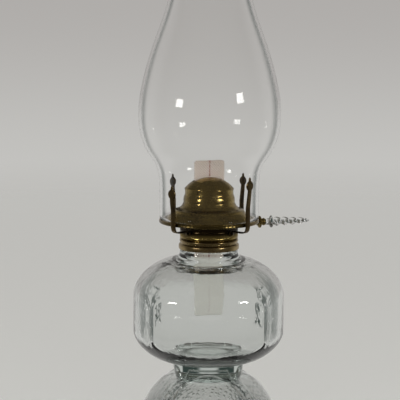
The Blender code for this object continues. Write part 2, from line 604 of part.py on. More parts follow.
def make_winder(shaft_axis):
    """Shaft, spur wheels, ferrule and crystal, which turn together."""
    made = []
    shaft_reach = FERRULE_START + 4.2 * MM
    rod = bmesh.new()
    add_rod(rod, SHAFT_RADIUS, (0, 0, -SHAFT_END), (0, 0, shaft_reach))
    made.append(place_mesh("winder_shaft", rod, BRASS, shaft_axis))

    points = 2 * WHEEL_TEETH
    radii = [WHEEL_RADIUS - (i % 2) * WHEEL_TOOTH_DEPTH for i in range(points)]
    angles = [(i - 0.5) * math.tau / points for i in range(points)]
    toothed = [(r * math.cos(a), r * math.sin(a)) for r, a in zip(radii, angles)]
    for number, place in enumerate(wheel_places(), start=1):
        bottom, top = place - WHEEL_WIDTH / 2, place + WHEEL_WIDTH / 2
        wheel = ring_prism(toothed, circle(SHAFT_BORE, points), bottom, top)
        made.append(place_mesh(f"spur_wheel_{number}", wheel, STEEL, shaft_axis, sharp=20))

    bore_end = shaft_reach + GAP
    s = FERRULE_START
    profile = [
        (0, s + FERRULE_LENGTH), (2.4 * MM, s + FERRULE_LENGTH), (3.1 * MM, s + 6.4 * MM), (2.5 * MM, s + 5.2 * MM),
        (2.5 * MM, s + 4.2 * MM), (DISC_RADIUS - 0.4 * MM, s + 3.9 * MM), (DISC_RADIUS, s + 3.4 * MM),
        (DISC_RADIUS, s + 2.7 * MM), (DISC_RADIUS - 0.4 * MM, s + 2.2 * MM), (3.2 * MM, s + 1.9 * MM),
        (2.2 * MM, s), (SHAFT_BORE, s), (SHAFT_BORE, bore_end), (0, bore_end),
    ]
    made.append(place_mesh("knob_ferrule", turned(profile, SMALL_SIDES, closed=False), BRASS, shaft_axis))
    made.append(place_mesh("knob_crystal", turned(crystal_profile(), SMALL_SIDES, closed=False), THIN_GLASS, shaft_axis))
    return made


def crystal_profile():
    """Neck, flange and a long tapering drop, from the tip down."""
    start, end = CRYSTAL_START, CRYSTAL_START + CRYSTAL_LENGTH
    drop = start + 6.4 * MM
    length = end - 2.4 * MM - drop
    taper = [
        (CRYSTAL_RADIUS * (1 - 0.42 * share**1.5), drop + length * share)
        for share in (1, 0.8, 0.6, 0.4, 0.2, 0.05)
    ]
    tip = [(0, end), (0.8 * MM, end - 0.4 * MM), (1.0 * MM, end - 1.3 * MM), (0.8 * MM, end - 2.0 * MM)]
    flange = [
        (2.3 * MM, start + 6.0 * MM), (CRYSTAL_FLANGE_RADIUS - 0.6 * MM, start + 5.4 * MM),
        (CRYSTAL_FLANGE_RADIUS, start + 4.8 * MM), (CRYSTAL_FLANGE_RADIUS - 0.6 * MM, start + 4.2 * MM),
        (2.6 * MM, start + 3.4 * MM), (2.4 * MM, start + 1.5 * MM), (2.6 * MM, start), (0, start),
    ]
    return tip + taper + flange


def make_shaft_bush(shaft_axis):
    """Bush in the basket's wall that carries the shaft."""
    wall_place = math.sqrt(BASKET_RADIUS**2 - SHAFT_OFFSET**2)
    outer, inner = circle(BUSH_RADIUS, SMALL_SIDES), circle(SHAFT_BORE, SMALL_SIDES)
    bush = ring_prism(outer, inner, wall_place - 2.4 * MM, wall_place + 2.6 * MM)
    return place_mesh("shaft_bush", bush, BRASS, shaft_axis)


# ================= prongs =================

def prong_angles():
    """Directions of the prongs, from the shaft's."""
    return [PRONG_FIRST_ANGLE + k * math.tau / PRONG_COUNT for k in range(PRONG_COUNT)]


def rivet_level():
    """Height of the rivets, near the middle of the prongs' tabs and clear of their legs."""
    return PRONG_LEG_LEVEL - PRONG_TAB_HEIGHT / 2 - 0.5 * MM


def chimney_radius_at(height):
    """Outer radius of the chimney's lower part at a height above its base."""
    return float(np.interp(height, *zip(*[(z, r) for r, z in chimney_profile()][::-1])))


def make_prong(number, height, axis_empty):
    """Spring strip: a riveted tab, a leg under the gallery, an upright and a spade-shaped finial.

    It is made about its own hinge, with x pointing outwards.
    """
    upright = UPRIGHT_PLACE - TAB_PLACE
    tip = chimney_radius_at(PRONG_LEG_LEVEL + height - CHIMNEY_BOTTOM) + 2 * GAP + PRONG_THICKNESS / 2 - TAB_PLACE
    half = PRONG_WIDTH / 2
    bulb = PRONG_BULB_WIDTH / 2
    # x outwards, z up, half width
    stations = [
        (0, -PRONG_TAB_HEIGHT - 0.6 * MM, half), (0, -0.9 * MM, half), (0.3 * MM, -0.25 * MM, half),
        (0.9 * MM, 0, half), (upright - 1.0 * MM, 0, half), (upright - 0.3 * MM, 0.3 * MM, half),
        (upright, 1.0 * MM, half), (upright, 0.45 * height, 0.94 * half),
        (tip - 0.2 * MM, height - 12 * MM, 0.86 * half), (tip, height - 9.3 * MM, 0.95 * half),
        (tip, height - 7.6 * MM, 0.92 * bulb), (tip, height - 6 * MM, bulb), (tip, height - 4.4 * MM, 0.86 * bulb),
        (tip, height - 3 * MM, 0.42 * bulb), (tip, height - 2.4 * MM, 0.26 * bulb),
        (tip, height - 1.3 * MM, 0.33 * bulb), (tip, height - 0.4 * MM, 0.24 * bulb), (tip, height, 0.1 * bulb),
    ]
    path = np.array([(x, z) for x, z, _ in stations])
    widths = np.array([w for _, _, w in stations])
    along = np.gradient(path, axis=0)
    along /= np.linalg.norm(along, axis=1)[:, None]
    across = np.column_stack([-along[:, 1], along[:, 0]]) * PRONG_THICKNESS / 2
    bm = bmesh.new()
    rings = []
    for (x, z), (dx, dz), w in zip(path, across, widths):
        corners = ((x + dx, -w, z + dz), (x + dx, w, z + dz), (x - dx, w, z - dz), (x - dx, -w, z - dz))
        rings.append([bm.verts.new(corner) for corner in corners])
    for ring, after in zip(rings, rings[1:]):
        for i in range(4):
            j = (i + 1) % 4
            bm.faces.new((ring[i], ring[j], after[j], after[i]))
    bm.faces.new(rings[0])
    bm.faces.new(rings[-1][::-1])
    prong = place_mesh(f"prong_{number}", bm, STEEL, axis_empty)
    hole = bmesh.new()
    level = rivet_level() - PRONG_LEG_LEVEL
    add_rod(hole, RIVET_RADIUS + GAP, (-2 * MM, 0, level), (2 * MM, 0, level), 10)
    cut(prong, place_mesh(f"prong_{number}_cutter", hole, STEEL, axis_empty))
    return prong


def make_rivet(number, burner, angle):
    """Rivet through a prong's tab and the basket, made along the direction of its prong."""
    inside = BASKET_RADIUS - SHEET - GAP
    outside = TAB_PLACE + PRONG_THICKNESS / 2 + GAP
    profile = [
        (0, outside + 0.9 * MM), (0.6 * RIVET_HEAD_RADIUS, outside + 0.7 * MM), (RIVET_HEAD_RADIUS, outside),
        (RIVET_RADIUS, outside), (RIVET_RADIUS, inside), (RIVET_HEAD_RADIUS - 0.3 * MM, inside),
        (RIVET_HEAD_RADIUS - 0.3 * MM, inside - 0.5 * MM), (0, inside - 0.5 * MM),
    ]
    turn = Matrix.Rotation(angle, 4, "Z") @ Matrix.Rotation(math.pi / 2, 4, "Y")
    axis = empty(f"rivet_{number}_axis", (0, 0, rivet_level()), turn, burner)
    return place_mesh(f"prong_rivet_{number}", turned(profile, 10, closed=False), BRASS, axis)


# ================= wick and chimney =================

def make_wick(burner):
    """Flat woven wick, cut nearly square, its top a little higher on the winder's side."""
    bm = prism(flat_oval(WICK_WIDTH, WICK_THICKNESS, 4), WICK_BOTTOM, WICK_TOP)
    for vert in bm.verts:
        if vert.co.z > SHOULDER_TOP and vert.co.x < 0:
            vert.co.z -= 0.9 * MM
    return place_mesh("wick", bm, COTTON, burner)


def chimney_profile():
    """(radius, height above the base) from the top down: flared top, pear-shaped bulb, straight fitter."""
    fitter, bulb = CHIMNEY_FITTER_RADIUS, CHIMNEY_BULB_RADIUS
    grow = bulb - fitter
    low, high = CHIMNEY_FITTER_HEIGHT, CHIMNEY_BULB_HEIGHT
    upper = CHIMNEY_HEIGHT - high
    narrowing = bulb - CHIMNEY_TOP_RADIUS
    straight = 0.7  # share of the upper part above which the wall is straight
    above = [(CHIMNEY_TOP_RADIUS, CHIMNEY_HEIGHT)] + [
        (bulb - narrowing * float(np.sin(np.pi / 2 * s)) ** 2.1, high + upper * straight * float(s))
        for s in np.linspace(1, 0, 8)
    ]
    below = [
        (fitter + grow * (0.06 + 0.94 * float(np.sin(np.pi / 2 * s)) ** 1.1), low + (high - low) * float(s))
        for s in (0.78, 0.55, 0.33, 0.18, 0.08)
    ]
    return above + below + [(fitter + 0.6 * MM, 0.81 * low), (fitter + 0.2 * MM, 0.4 * low), (fitter, 0)]


def make_chimney():
    """Clear chimney standing on the gallery's seat."""
    profile = [(r, CHIMNEY_BOTTOM + z) for r, z in chimney_profile()]
    chimney = place_mesh("chimney", turned(profile, GLASS_SIDES, closed=False), THIN_GLASS)
    face_outwards(chimney)
    thicken(chimney, CHIMNEY_WALL)
    return chimney


def main():
    """Build every piece."""
    make_pedestal()
    make_font()
    make_plaster()
    make_collar()
    burner = empty("burner_axis", (0, 0, 0), Matrix.Rotation(BURNER_TURN, 4, "Z"))
    make_screw_shell(burner)
    make_base_plate(burner)
    make_basket(burner)
    make_gallery(burner)
    make_wick_tube(burner)
    make_vent_tube(burner)
    make_winder_housing(burner)
    make_cone(burner)
    shaft_axis = empty("winder_axis", (0, SHAFT_OFFSET, SHAFT_LEVEL), Matrix.Rotation(math.pi / 2, 4, "Y"), burner)
    make_shaft_bush(shaft_axis)
    make_winder(shaft_axis)
    for number, (angle, height) in enumerate(zip(prong_angles(), PRONG_HEIGHTS), start=1):
        turn = Matrix.Rotation(angle, 4, "Z")
        pivot = turn @ Vector((TAB_PLACE, 0, PRONG_LEG_LEVEL))
        make_prong(number, height, empty(f"prong_{number}_hinge", pivot, turn, burner))
        make_rivet(number, burner, angle)
    make_wick(burner)
    make_chimney()


main()
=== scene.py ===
"""Studio scene of a clear pressed-glass oil lamp with a flat-wick burner and a glass chimney.

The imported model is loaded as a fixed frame. Each sub-assembly is a class that holds its sizes, works its
surfaces out on numpy grids, and dresses them with finishes made of shader nodes.
"""
import logging
import math
from collections.abc import Sequence
from dataclasses import dataclass
from enum import Enum

import bpy
import numpy as np
from mathutils import Matrix, Vector
from numpy.typing import NDArray


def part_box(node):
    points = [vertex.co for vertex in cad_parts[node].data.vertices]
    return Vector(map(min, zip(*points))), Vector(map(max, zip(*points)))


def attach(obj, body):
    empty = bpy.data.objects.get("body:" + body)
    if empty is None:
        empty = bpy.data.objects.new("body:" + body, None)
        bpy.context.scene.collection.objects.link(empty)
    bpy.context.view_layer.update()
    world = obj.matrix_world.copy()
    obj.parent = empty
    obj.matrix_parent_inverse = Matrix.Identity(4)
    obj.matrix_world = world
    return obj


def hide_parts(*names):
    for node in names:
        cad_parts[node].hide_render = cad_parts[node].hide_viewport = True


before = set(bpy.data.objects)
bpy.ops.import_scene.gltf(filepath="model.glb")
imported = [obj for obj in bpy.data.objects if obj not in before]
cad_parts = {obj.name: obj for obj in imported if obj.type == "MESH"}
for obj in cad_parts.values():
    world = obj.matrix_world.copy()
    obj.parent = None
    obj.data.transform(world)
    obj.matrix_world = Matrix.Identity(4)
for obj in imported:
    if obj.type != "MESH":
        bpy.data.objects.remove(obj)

Array = NDArray[np.float64]
Colour = tuple[float, float, float, float]

log = logging.getLogger("oil_lamp")

MM = 0.001
GAP = 0.3 * MM  # between pieces that touch
BURNER_TURN = math.radians(15)  # the burner and its wick are turned this far on the font


# ================= shapes as arrays =================

@dataclass
class Shell:
    """One closed surface: its points, and its faces with four or three corners."""

    points: Array
    quads: NDArray[np.int64]
    triangles: NDArray[np.int64]

    def volume(self) -> float:
        """Signed volume: the sum of the tetrahedra from the origin to each triangle."""
        halves = [self.triangles, self.quads[:, [0, 1, 2]], self.quads[:, [0, 2, 3]]]
        a, b, c = (self.points[np.concatenate(halves)[:, k]] for k in range(3))
        return float(np.einsum("ij,ij->i", a, np.cross(b, c)).sum() / 6)

    def outwards(self) -> "Shell":
        """The same shell with its faces pointing out: a negative volume has its corners reversed."""
        if self.volume() >= 0:
            return self
        return Shell(self.points, self.quads[:, ::-1], self.triangles[:, ::-1])

    def turned(self, angle: float) -> "Shell":
        """The same shell, turned about the Z axis."""
        return Shell(turned_about_z(self.points, angle), self.quads, self.triangles)


def surface(grid: Array, ring_closed: bool = False, first: Sequence[float] | None = None,
            last: Sequence[float] | None = None) -> Shell:
    """Join a grid of points into a closed surface.

    Each point is joined to the next in its row and in its column; the last column meets the first. The
    rows either meet as well, or end in a fan of triangles to a pole.

    Args:
        grid: Points as (rows, columns, 3).
        ring_closed: Whether the last row meets the first.
        first: The pole before the first row, if any.
        last: The pole after the last row, if any.

    Returns:
        The closed shell, with its faces pointing out.
    """
    rows, columns = grid.shape[:2]
    index = np.arange(rows * columns).reshape(rows, columns)
    upper = index if ring_closed else index[:-1]
    lower = np.roll(index, -1, axis=0) if ring_closed else index[1:]
    quads = np.stack([upper, np.roll(upper, -1, 1), np.roll(lower, -1, 1), lower], axis=-1).reshape(-1, 4)
    points = [grid.reshape(-1, 3)]
    fans = []
    for pole, edge, turned_round in ((first, index[0], True), (last, index[-1], False)):
        if pole is None:
            continue
        centre = np.full(columns, sum(len(p) for p in points))
        after = np.roll(edge, -1)
        fans.append(np.stack([centre, after, edge] if turned_round else [centre, edge, after], axis=-1))
        points.append(np.array([pole], dtype=float))
    triangles = np.concatenate(fans) if fans else np.zeros((0, 3), dtype=np.int64)
    return Shell(np.concatenate(points), quads, triangles).outwards()


def around(count: int, start: float = 0.0) -> Array:
    """Angles of `count` equal steps of a whole turn, from `start`."""
    return start + np.arange(count) * math.tau / count


def revolve(radii: Array, heights: Array, angles: Array) -> Array:
    """Carry a profile round the Z axis.

    A point is (radius times cosine, radius times sine, height); radii and heights may also vary with the angle.

    Args:
        radii: Radii as (rows,) or (rows, columns).
        heights: Heights, shaped the same way.
        angles: The columns' angles.

    Returns:
        Points as (rows, columns, 3).
    """
    radii = radii[:, None] if radii.ndim == 1 else radii
    heights = heights[:, None] if heights.ndim == 1 else heights
    radii, heights, angles = np.broadcast_arrays(radii, heights, angles[None, :])
    return np.stack([radii * np.cos(angles), radii * np.sin(angles), heights], axis=-1)


def eased(points: Sequence[tuple[float, float]], reach: float, closed: bool = False,
          passes: int = 2) -> Array:
    """Round the corners of an outline.

    Each corner is cut off at `reach` along its two sides, or half way where a side is short, and every
    pass then cuts the corners that are left at a quarter of their sides.

    Args:
        points: The outline's corners.
        reach: How far from a corner the rounding starts.
        closed: Whether the last point meets the first.
        passes: How often the cut is repeated.

    Returns:
        The rounded outline as (count, 2).
    """
    outline = np.array(points, dtype=float)
    for step in range(passes + 1):
        ends = np.roll(outline, -1, axis=0) if closed else outline[1:]
        starts = outline if closed else outline[:-1]
        length = np.linalg.norm(ends - starts, axis=1, keepdims=True)
        share = np.minimum(reach / np.maximum(length, 1e-9), 0.5) if step == 0 else np.full_like(length, 0.25)
        moved = share * (ends - starts)
        cuts = np.stack([starts + moved, ends - moved], axis=1).reshape(-1, 2)
        if not closed:
            cuts[0], cuts[-1] = outline[0], outline[-1]
        outline = cuts
    return outline


def spaced(outline: Array, count: int, closed: bool = False) -> Array:
    """Share `count` points out evenly along an outline, by its length.

    Args:
        outline: Points as (n, k).
        count: How many points to give.
        closed: Whether the last point meets the first.

    Returns:
        Points as (count, k).
    """
    line = np.concatenate([outline, outline[:1]]) if closed else outline
    steps = np.concatenate([[0.0], np.cumsum(np.linalg.norm(np.diff(line, axis=0), axis=1))])
    wanted = np.linspace(0, steps[-1], count + 1)[:-1] if closed else np.linspace(0, steps[-1], count)
    return np.stack([np.interp(wanted, steps, line[:, k]) for k in range(line.shape[1])], axis=-1)


def spline(knots: Array, values: Array, wanted: Array) -> Array:
    """Natural cubic spline: the second slopes solve a tridiagonal system, and are zero at both ends."""
    widths = np.diff(knots)
    slopes = np.diff(values) / widths
    size = len(knots)
    system = np.eye(size)
    inner = np.arange(1, size - 1)
    system[inner, inner - 1] = widths[:-1]
    system[inner, inner] = 2 * (widths[:-1] + widths[1:])
    system[inner, inner + 1] = widths[1:]
    right = np.zeros(size)
    right[inner] = 6 * np.diff(slopes)
    bend = np.linalg.solve(system, right)
    at = np.clip(np.searchsorted(knots, wanted) - 1, 0, size - 2)
    width, left, remain = widths[at], wanted - knots[at], knots[at + 1] - wanted
    return ((bend[at] * remain**3 + bend[at + 1] * left**3) / (6 * width)
            + (values[at] / width - bend[at] * width / 6) * remain
            + (values[at + 1] / width - bend[at + 1] * width / 6) * left)


def step_between(value: Array, low: float, high: float) -> Array:
    """0 below `low`, 1 above `high`, and 3t squared less 2t cubed between."""
    share = np.clip((value - low) / (high - low), 0, 1)
    return share * share * (3 - 2 * share)


def band(value: Array, rise: tuple[float, float], fall: tuple[float, float]) -> Array:
    """1 between two eased slopes and 0 outside them; each slope is given by where it starts and ends."""
    return step_between(value, *rise) * (1 - step_between(value, *fall))


def quarter(centre: float, across: float, share: Array, power: float) -> Array:
    """Radii of a quarter superellipse, by height: centre + across (1 - share^power)^(1/power)."""
    return centre + across * np.clip(1 - np.abs(share) ** power, 0, 1) ** (1 / power)


def turned_about_z(points: Array, angle: float) -> Array:
    """Points turned about the Z axis: x and y are mixed by the angle's cosine and sine."""
    cosine, sine = math.cos(angle), math.sin(angle)
    x, y = points[..., 0].copy(), points[..., 1].copy()
    return np.stack([cosine * x - sine * y, sine * x + cosine * y, points[..., 2]], axis=-1)


def off(corner: tuple[float, float], *steps: tuple[float, float]) -> list[tuple[float, float]]:
    """Outline points that lie these steps, in millimetres, off a corner."""
    return [(corner[0] + across * MM, corner[1] + up * MM) for across, up in steps]


def sides(path: Array) -> Array:
    """The unit normal to the right of each point of a path."""
    along = np.gradient(path, axis=0)
    along /= np.linalg.norm(along, axis=1, keepdims=True)
    return np.stack([along[:, 1], -along[:, 0]], axis=-1)


def spun(outline: Array, columns: int) -> Shell:
    """The closed shell that a closed outline of (radius, height) points makes round the Z axis."""
    return surface(revolve(outline[:, 0], outline[:, 1], around(columns)), ring_closed=True)


# ================= pieces =================

def edge_wear(mesh: bpy.types.Mesh) -> Array:
    """How exposed each point is, from 0 to 1.

    Curvature is twice the point's height over the mean of its neighbours, along its normal, over the mean
    square of their distance; it is scaled so that an edge rounded to under a millimetre gives 1.

    Args:
        mesh: The mesh, with its edges worked out.

    Returns:
        One value for each point.
    """
    count = len(mesh.vertices)
    points = np.empty(count * 3)
    normals = np.empty(count * 3)
    ends = np.empty(len(mesh.edges) * 2, dtype=np.int32)
    mesh.vertices.foreach_get("co", points)
    mesh.vertices.foreach_get("normal", normals)
    mesh.edges.foreach_get("vertices", ends)
    points, normals, ends = points.reshape(-1, 3), normals.reshape(-1, 3), ends.reshape(-1, 2)
    a, b = ends[:, 0], ends[:, 1]
    across = points[a] - points[b]
    square = np.einsum("ij,ij->i", across, across)
    height = np.bincount(a, np.einsum("ij,ij->i", across, normals[a]), count)
    height -= np.bincount(b, np.einsum("ij,ij->i", across, normals[b]), count)
    spread = np.bincount(a, square, count) + np.bincount(b, square, count)
    return step_between(2 * height / np.maximum(spread, 1e-12), 250.0, 1600.0)


@dataclass(frozen=True)
class Dress:
    """What a piece wears and rides: its material, slot and body, and the CAD nodes it stands for."""

    material: bpy.types.Material
    slot: str
    body: str
    stands_for: tuple[str, ...] = ()


def linked(name: str, data: bpy.types.ID) -> bpy.types.Object:
    """A new object that holds the data, in the scene."""
    made = bpy.data.objects.new(name, data)
    bpy.context.scene.collection.objects.link(made)
    return made


def make_piece(name: str, shell: Shell, dress: Dress, sharp: float = 40.0,
               uv: Array | None = None) -> bpy.types.Object:
    """Put a shell into a mesh object, smooth it, and tie it to the frame.

    Args:
        name: The piece's name.
        shell: Its closed surface, in metres.
        dress: Its material, slot, body and replaced nodes.
        sharp: Edges that turn by more than this many degrees stay sharp.
        uv: A map coordinate for each point, if its material reads one.

    Returns:
        The linked object, at the origin.
    """
    points, quads, triangles = shell.points, shell.quads, shell.triangles
    corners = np.concatenate([quads.ravel(), triangles.ravel()]).astype(np.int32)
    starts = np.concatenate([
        np.arange(len(quads)) * 4, len(quads) * 4 + np.arange(len(triangles)) * 3]).astype(np.int32)
    mesh = bpy.data.meshes.new(name)
    mesh.vertices.add(len(points))
    mesh.vertices.foreach_set("co", points.astype(np.float32).ravel())
    mesh.loops.add(len(corners))
    mesh.loops.foreach_set("vertex_index", corners)
    mesh.polygons.add(len(starts))
    mesh.polygons.foreach_set("loop_start", starts)
    mesh.update(calc_edges=True)
    mesh.validate()
    mesh.shade_smooth()
    mesh.set_sharp_from_angle(angle=math.radians(sharp))
    wear = mesh.attributes.new("wear", "FLOAT", "POINT")
    wear.data.foreach_set("value", edge_wear(mesh).astype(np.float32))
    if uv is not None:
        layer = mesh.uv_layers.new(name="cloth")
        layer.uv.foreach_set("vector", uv[corners].astype(np.float32).ravel())
    made = linked(name, mesh)
    mesh.materials.append(dress.material)
    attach(made, dress.body)
    if dress.stands_for:
        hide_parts(*dress.stands_for)
    log.info("%s: %d faces, rides on %s", name, len(starts), dress.body)
    return made


# ================= shader nodes =================

class Graph:
    """A short way to place and join the nodes of one tree."""

    def __init__(self, tree: bpy.types.NodeTree) -> None:
        """Work on this tree."""
        self.tree = tree

    def add(self, kind: str, inputs: dict | None = None, **settings: object) -> bpy.types.Node:
        """Place a node.

        Args:
            kind: The node's type name.
            inputs: Values or sockets for its inputs, by name or place.
            settings: Values for its own properties.

        Returns:
            The node.
        """
        node = self.tree.nodes.new(kind)
        for key, value in settings.items():
            setattr(node, key, value)
        for key, value in (inputs or {}).items():
            if isinstance(value, bpy.types.NodeSocket):
                self.tree.links.new(value, node.inputs[key])
            else:
                node.inputs[key].default_value = value
        return node

    def math(self, operation: str, a: object, b: object = 0.0, clamp: bool = False) -> bpy.types.NodeSocket:
        """One arithmetic step on two values or sockets."""
        return self.add("ShaderNodeMath", {0: a, 1: b}, operation=operation, use_clamp=clamp).outputs[0]

    def plus(self, a: object, b: object) -> bpy.types.NodeSocket:
        """The sum of a and b."""
        return self.math("ADD", a, b)

    def minus(self, a: object, b: object, clamp: bool = False) -> bpy.types.NodeSocket:
        """What is left of a without b."""
        return self.math("SUBTRACT", a, b, clamp)

    def times(self, a: object, b: object) -> bpy.types.NodeSocket:
        """The product of a and b."""
        return self.math("MULTIPLY", a, b)

    def length(self, a: object, b: object) -> bpy.types.NodeSocket:
        """The root of the sum of two squares."""
        return self.math("SQRT", self.plus(self.times(a, a), self.times(b, b)))

    def mix(self, share: object, a: object, b: object) -> bpy.types.NodeSocket:
        """A colour between a and b."""
        return self.add("ShaderNodeMix", {0: share, 6: a, 7: b}, data_type="RGBA").outputs[2]

    def fit(self, value: object, low: float, high: float) -> bpy.types.NodeSocket:
        """0 at `low` and 1 at `high`, eased at both ends."""
        return self.add("ShaderNodeMapRange", {0: value, 1: low, 2: high},
                        interpolation_type="SMOOTHSTEP").outputs[0]

    def noise(self, vector: object, scale: object, detail: float = 3.0,
              rough: float = 0.55) -> bpy.types.NodeSocket:
        """Fractal noise about 0.5."""
        return self.add("ShaderNodeTexNoise", {"Vector": vector, "Scale": scale, "Detail": detail,
                                               "Roughness": rough}).outputs["Fac"]

    def place(self) -> bpy.types.NodeSocket:
        """Object coordinates, in metres."""
        return self.add("ShaderNodeTexCoord").outputs["Object"]

    def split(self, vector: object) -> Sequence[bpy.types.NodeSocket]:
        """The three parts of a vector."""
        return self.add("ShaderNodeSeparateXYZ", {0: vector}).outputs

    def bump(self, height: object, distance: float, strength: float) -> bpy.types.NodeSocket:
        """A normal that leans with the height's slope."""
        return self.add("ShaderNodeBump", {"Height": height, "Distance": distance,
                                           "Strength": strength}).outputs[0]

    def group(self, tree: bpy.types.NodeTree, **values: object) -> bpy.types.Node:
        """Place a node group; an input named Patch Scale is given as patch_scale."""
        return self.add("ShaderNodeGroup", {label.replace("_", " ").title(): value
                                            for label, value in values.items()}, node_tree=tree)


SPECK: Colour = (0.03, 0.018, 0.01, 1.0)
# Colour of the painted shade under the burner's gallery, also used to darken the gallery's lip
SHADE_AND_LIP_DARK: Colour = (0.02, 0.012, 0.007, 1.0)
SOCKETS = {"value": "NodeSocketFloat", "colour": "NodeSocketColor"}


def new_group(name: str, inputs: dict[str, object], outputs: dict[str, str]) -> tuple[Graph, object, object]:
    """Start a node group with named sockets.

    Args:
        name: The group's name.
        inputs: Each input's name and first value; a tuple makes a colour socket.
        outputs: Each output's name and kind.

    Returns:
        Its graph, its input node and its output node.
    """
    tree = bpy.data.node_groups.new(name, "ShaderNodeTree")
    for label, value in inputs.items():
        kind = SOCKETS["colour" if isinstance(value, tuple) else "value"]
        tree.interface.new_socket(name=label, in_out="INPUT", socket_type=kind).default_value = value
    for label, kind in outputs.items():
        tree.interface.new_socket(name=label, in_out="OUTPUT", socket_type=SOCKETS[kind])
    graph = Graph(tree)
    return graph, graph.add("NodeGroupInput"), graph.add("NodeGroupOutput")


def tarnish_group() -> bpy.types.NodeTree:
    """Old brass: clean on its edges, brown and dull in patches, with fine specks and a faint grain.

    Painted shade darkens the brass under the burner's gallery, and the gallery's lip is darkened too: the place
    is told by height and radius.
    """
    graph, given, gives = new_group(
        "tarnish",
        {"Bright": (0.5, 0.4, 0.2, 1.0), "Dull": (0.1, 0.07, 0.03, 1.0), "Cover": 0.5, "Patch Scale": 60.0,
         "Edge Wear": 0.5, "Smooth": 0.2, "Rough": 0.4, "Grime": 0.0},
        {"Color": "colour", "Roughness": "value", "Height": "value"})
    place = graph.place()
    patches = graph.noise(place, given.outputs["Patch Scale"], 5.0, 0.6)
    cover = graph.minus(graph.plus(patches, given.outputs["Cover"]), 0.5)
    streak_place = graph.add("ShaderNodeMapping", {"Vector": place, "Scale": (1.0, 1.0, 9.0)}).outputs[0]
    streaks = graph.noise(streak_place, 110.0, 4.0, 0.6)
    dull = graph.fit(graph.plus(cover, graph.times(graph.minus(streaks, 0.5), 0.35)),
                     0.3, 0.7)
    worn = graph.add("ShaderNodeAttribute", attribute_name="wear").outputs["Fac"]
    rubbed = graph.times(worn, graph.times(given.outputs["Edge Wear"],
                                                     graph.fit(streaks, 0.3, 0.6)))
    dull = graph.minus(dull, rubbed, clamp=True)
    specks = graph.fit(graph.noise(place, 900.0, 2.0, 0.5), 0.63, 0.72)
    dark = graph.times(specks, 0.6)
    colour = graph.mix(dull, given.outputs["Bright"], given.outputs["Dull"])
    colour = graph.mix(dark, colour, SPECK)
    split = graph.split(place)
    radius = graph.length(split[0], split[1])
    height = split[2]
    # Painted shade: brass between the basket's foot and the gallery's plate is darkened where the gallery
    # shades it
    under_plate = graph.minus(1.0, graph.fit(height, 195.4 * MM, 196.2 * MM))
    under_gallery_shade = graph.times(graph.fit(height, 185.6 * MM, 188.6 * MM), under_plate)
    under_gallery_shade = graph.times(under_gallery_shade, graph.fit(radius, 37.0 * MM, 34.0 * MM))
    # The gallery's lip band is darkened too
    lip = graph.times(graph.fit(radius, 37.2 * MM, 37.6 * MM), graph.fit(radius, 39.2 * MM, 39.0 * MM))
    lip = graph.times(graph.times(lip, 0.6), graph.fit(height, 197.4 * MM, 196.9 * MM))
    grime = graph.times(graph.math("MAXIMUM", under_gallery_shade, lip), given.outputs["Grime"])
    colour = graph.mix(grime, colour, SHADE_AND_LIP_DARK)
    rough = graph.add("ShaderNodeMix", {
        0: dull, 2: given.outputs["Smooth"], 3: given.outputs["Rough"]}).outputs[0]
    rough = graph.plus(rough, graph.times(specks, 0.15))
    height = graph.plus(graph.times(patches, 0.6), graph.times(specks, -0.5))
    for label, value in (("Color", colour), ("Roughness", rough), ("Height", height)):
        graph.tree.links.new(value, gives.inputs[label])
    return graph.tree


def ripple_group() -> bpy.types.NodeTree:
    """Pressed glass: the slow chill waves of the mould, finer lines along them, and beads on the foot."""
    graph, given, gives = new_group(
        "glass_ripple", {"Wave Scale": 35.0, "Stretch": 1.0, "Fine": 0.2, "Stipple": 0.0}, {"Height": "value"})
    stretch = graph.add("ShaderNodeCombineXYZ", {0: 1.0, 1: 1.0, 2: given.outputs["Stretch"]}).outputs[0]
    place = graph.add("ShaderNodeMapping", {"Vector": graph.place(), "Scale": stretch}).outputs[0]
    waves = graph.noise(place, given.outputs["Wave Scale"], 1.5, 0.4)
    fine = graph.noise(place, graph.times(given.outputs["Wave Scale"], 7.0), 2.0, 0.5)
    height = graph.plus(waves, graph.times(fine, given.outputs["Fine"]))
    level = graph.split(graph.place())[2]
    band = graph.times(graph.fit(level, 8 * MM, 10 * MM), graph.fit(level, 67 * MM, 64 * MM))
    beads = graph.add("ShaderNodeTexVoronoi", {"Vector": graph.place(), "Scale": 420.0}).outputs[0]
    beads = graph.times(graph.fit(beads, 0.55, 0.1), graph.times(band, given.outputs["Stipple"]))
    height = graph.plus(height, beads)
    graph.tree.links.new(height, gives.inputs["Height"])
    return graph.tree


def weave_group() -> bpy.types.NodeTree:
    """Plain weave on the piece's own map: the product of two sines stands for threads over and under."""
    graph, given, gives = new_group(
        "plain_weave", {"Across Pitch": 2.0 * MM, "Along Pitch": 2.0 * MM},
        {"Height": "value", "Shade": "value"})
    split = graph.split(graph.add("ShaderNodeUVMap", uv_map="cloth").outputs[0])
    wobble = graph.times(graph.minus(graph.noise(graph.place(), 260.0), 0.5), 0.8)
    waves = []
    for axis, pitch in ((0, "Across Pitch"), (1, "Along Pitch")):
        turns = graph.math("DIVIDE", split[axis], given.outputs[pitch])
        turns = graph.plus(graph.times(turns, math.tau), wobble)
        waves.append(graph.math("SINE", turns))
    woven = graph.plus(graph.times(graph.times(waves[0], waves[1]), 0.5), 0.5)
    fuzz = graph.noise(graph.place(), 2500.0, 3.0, 0.7)
    height = graph.plus(woven, graph.times(fuzz, 0.5))
    graph.tree.links.new(height, gives.inputs["Height"])
    # Shade is darker where the weave dips: painted shade in the hollows between threads, with the fuzz noise as
    # random tone
    graph.tree.links.new(graph.plus(graph.times(woven, 0.7), graph.times(fuzz, 0.3)),
                         gives.inputs["Shade"])
    return graph.tree


# ================= finishes =================

def new_material(name: str) -> tuple[bpy.types.Material, Graph]:
    """An empty material and the graph of its nodes."""
    material = bpy.data.materials.new(name)
    material.use_nodes = True
    material.node_tree.nodes.clear()
    return material, Graph(material.node_tree)


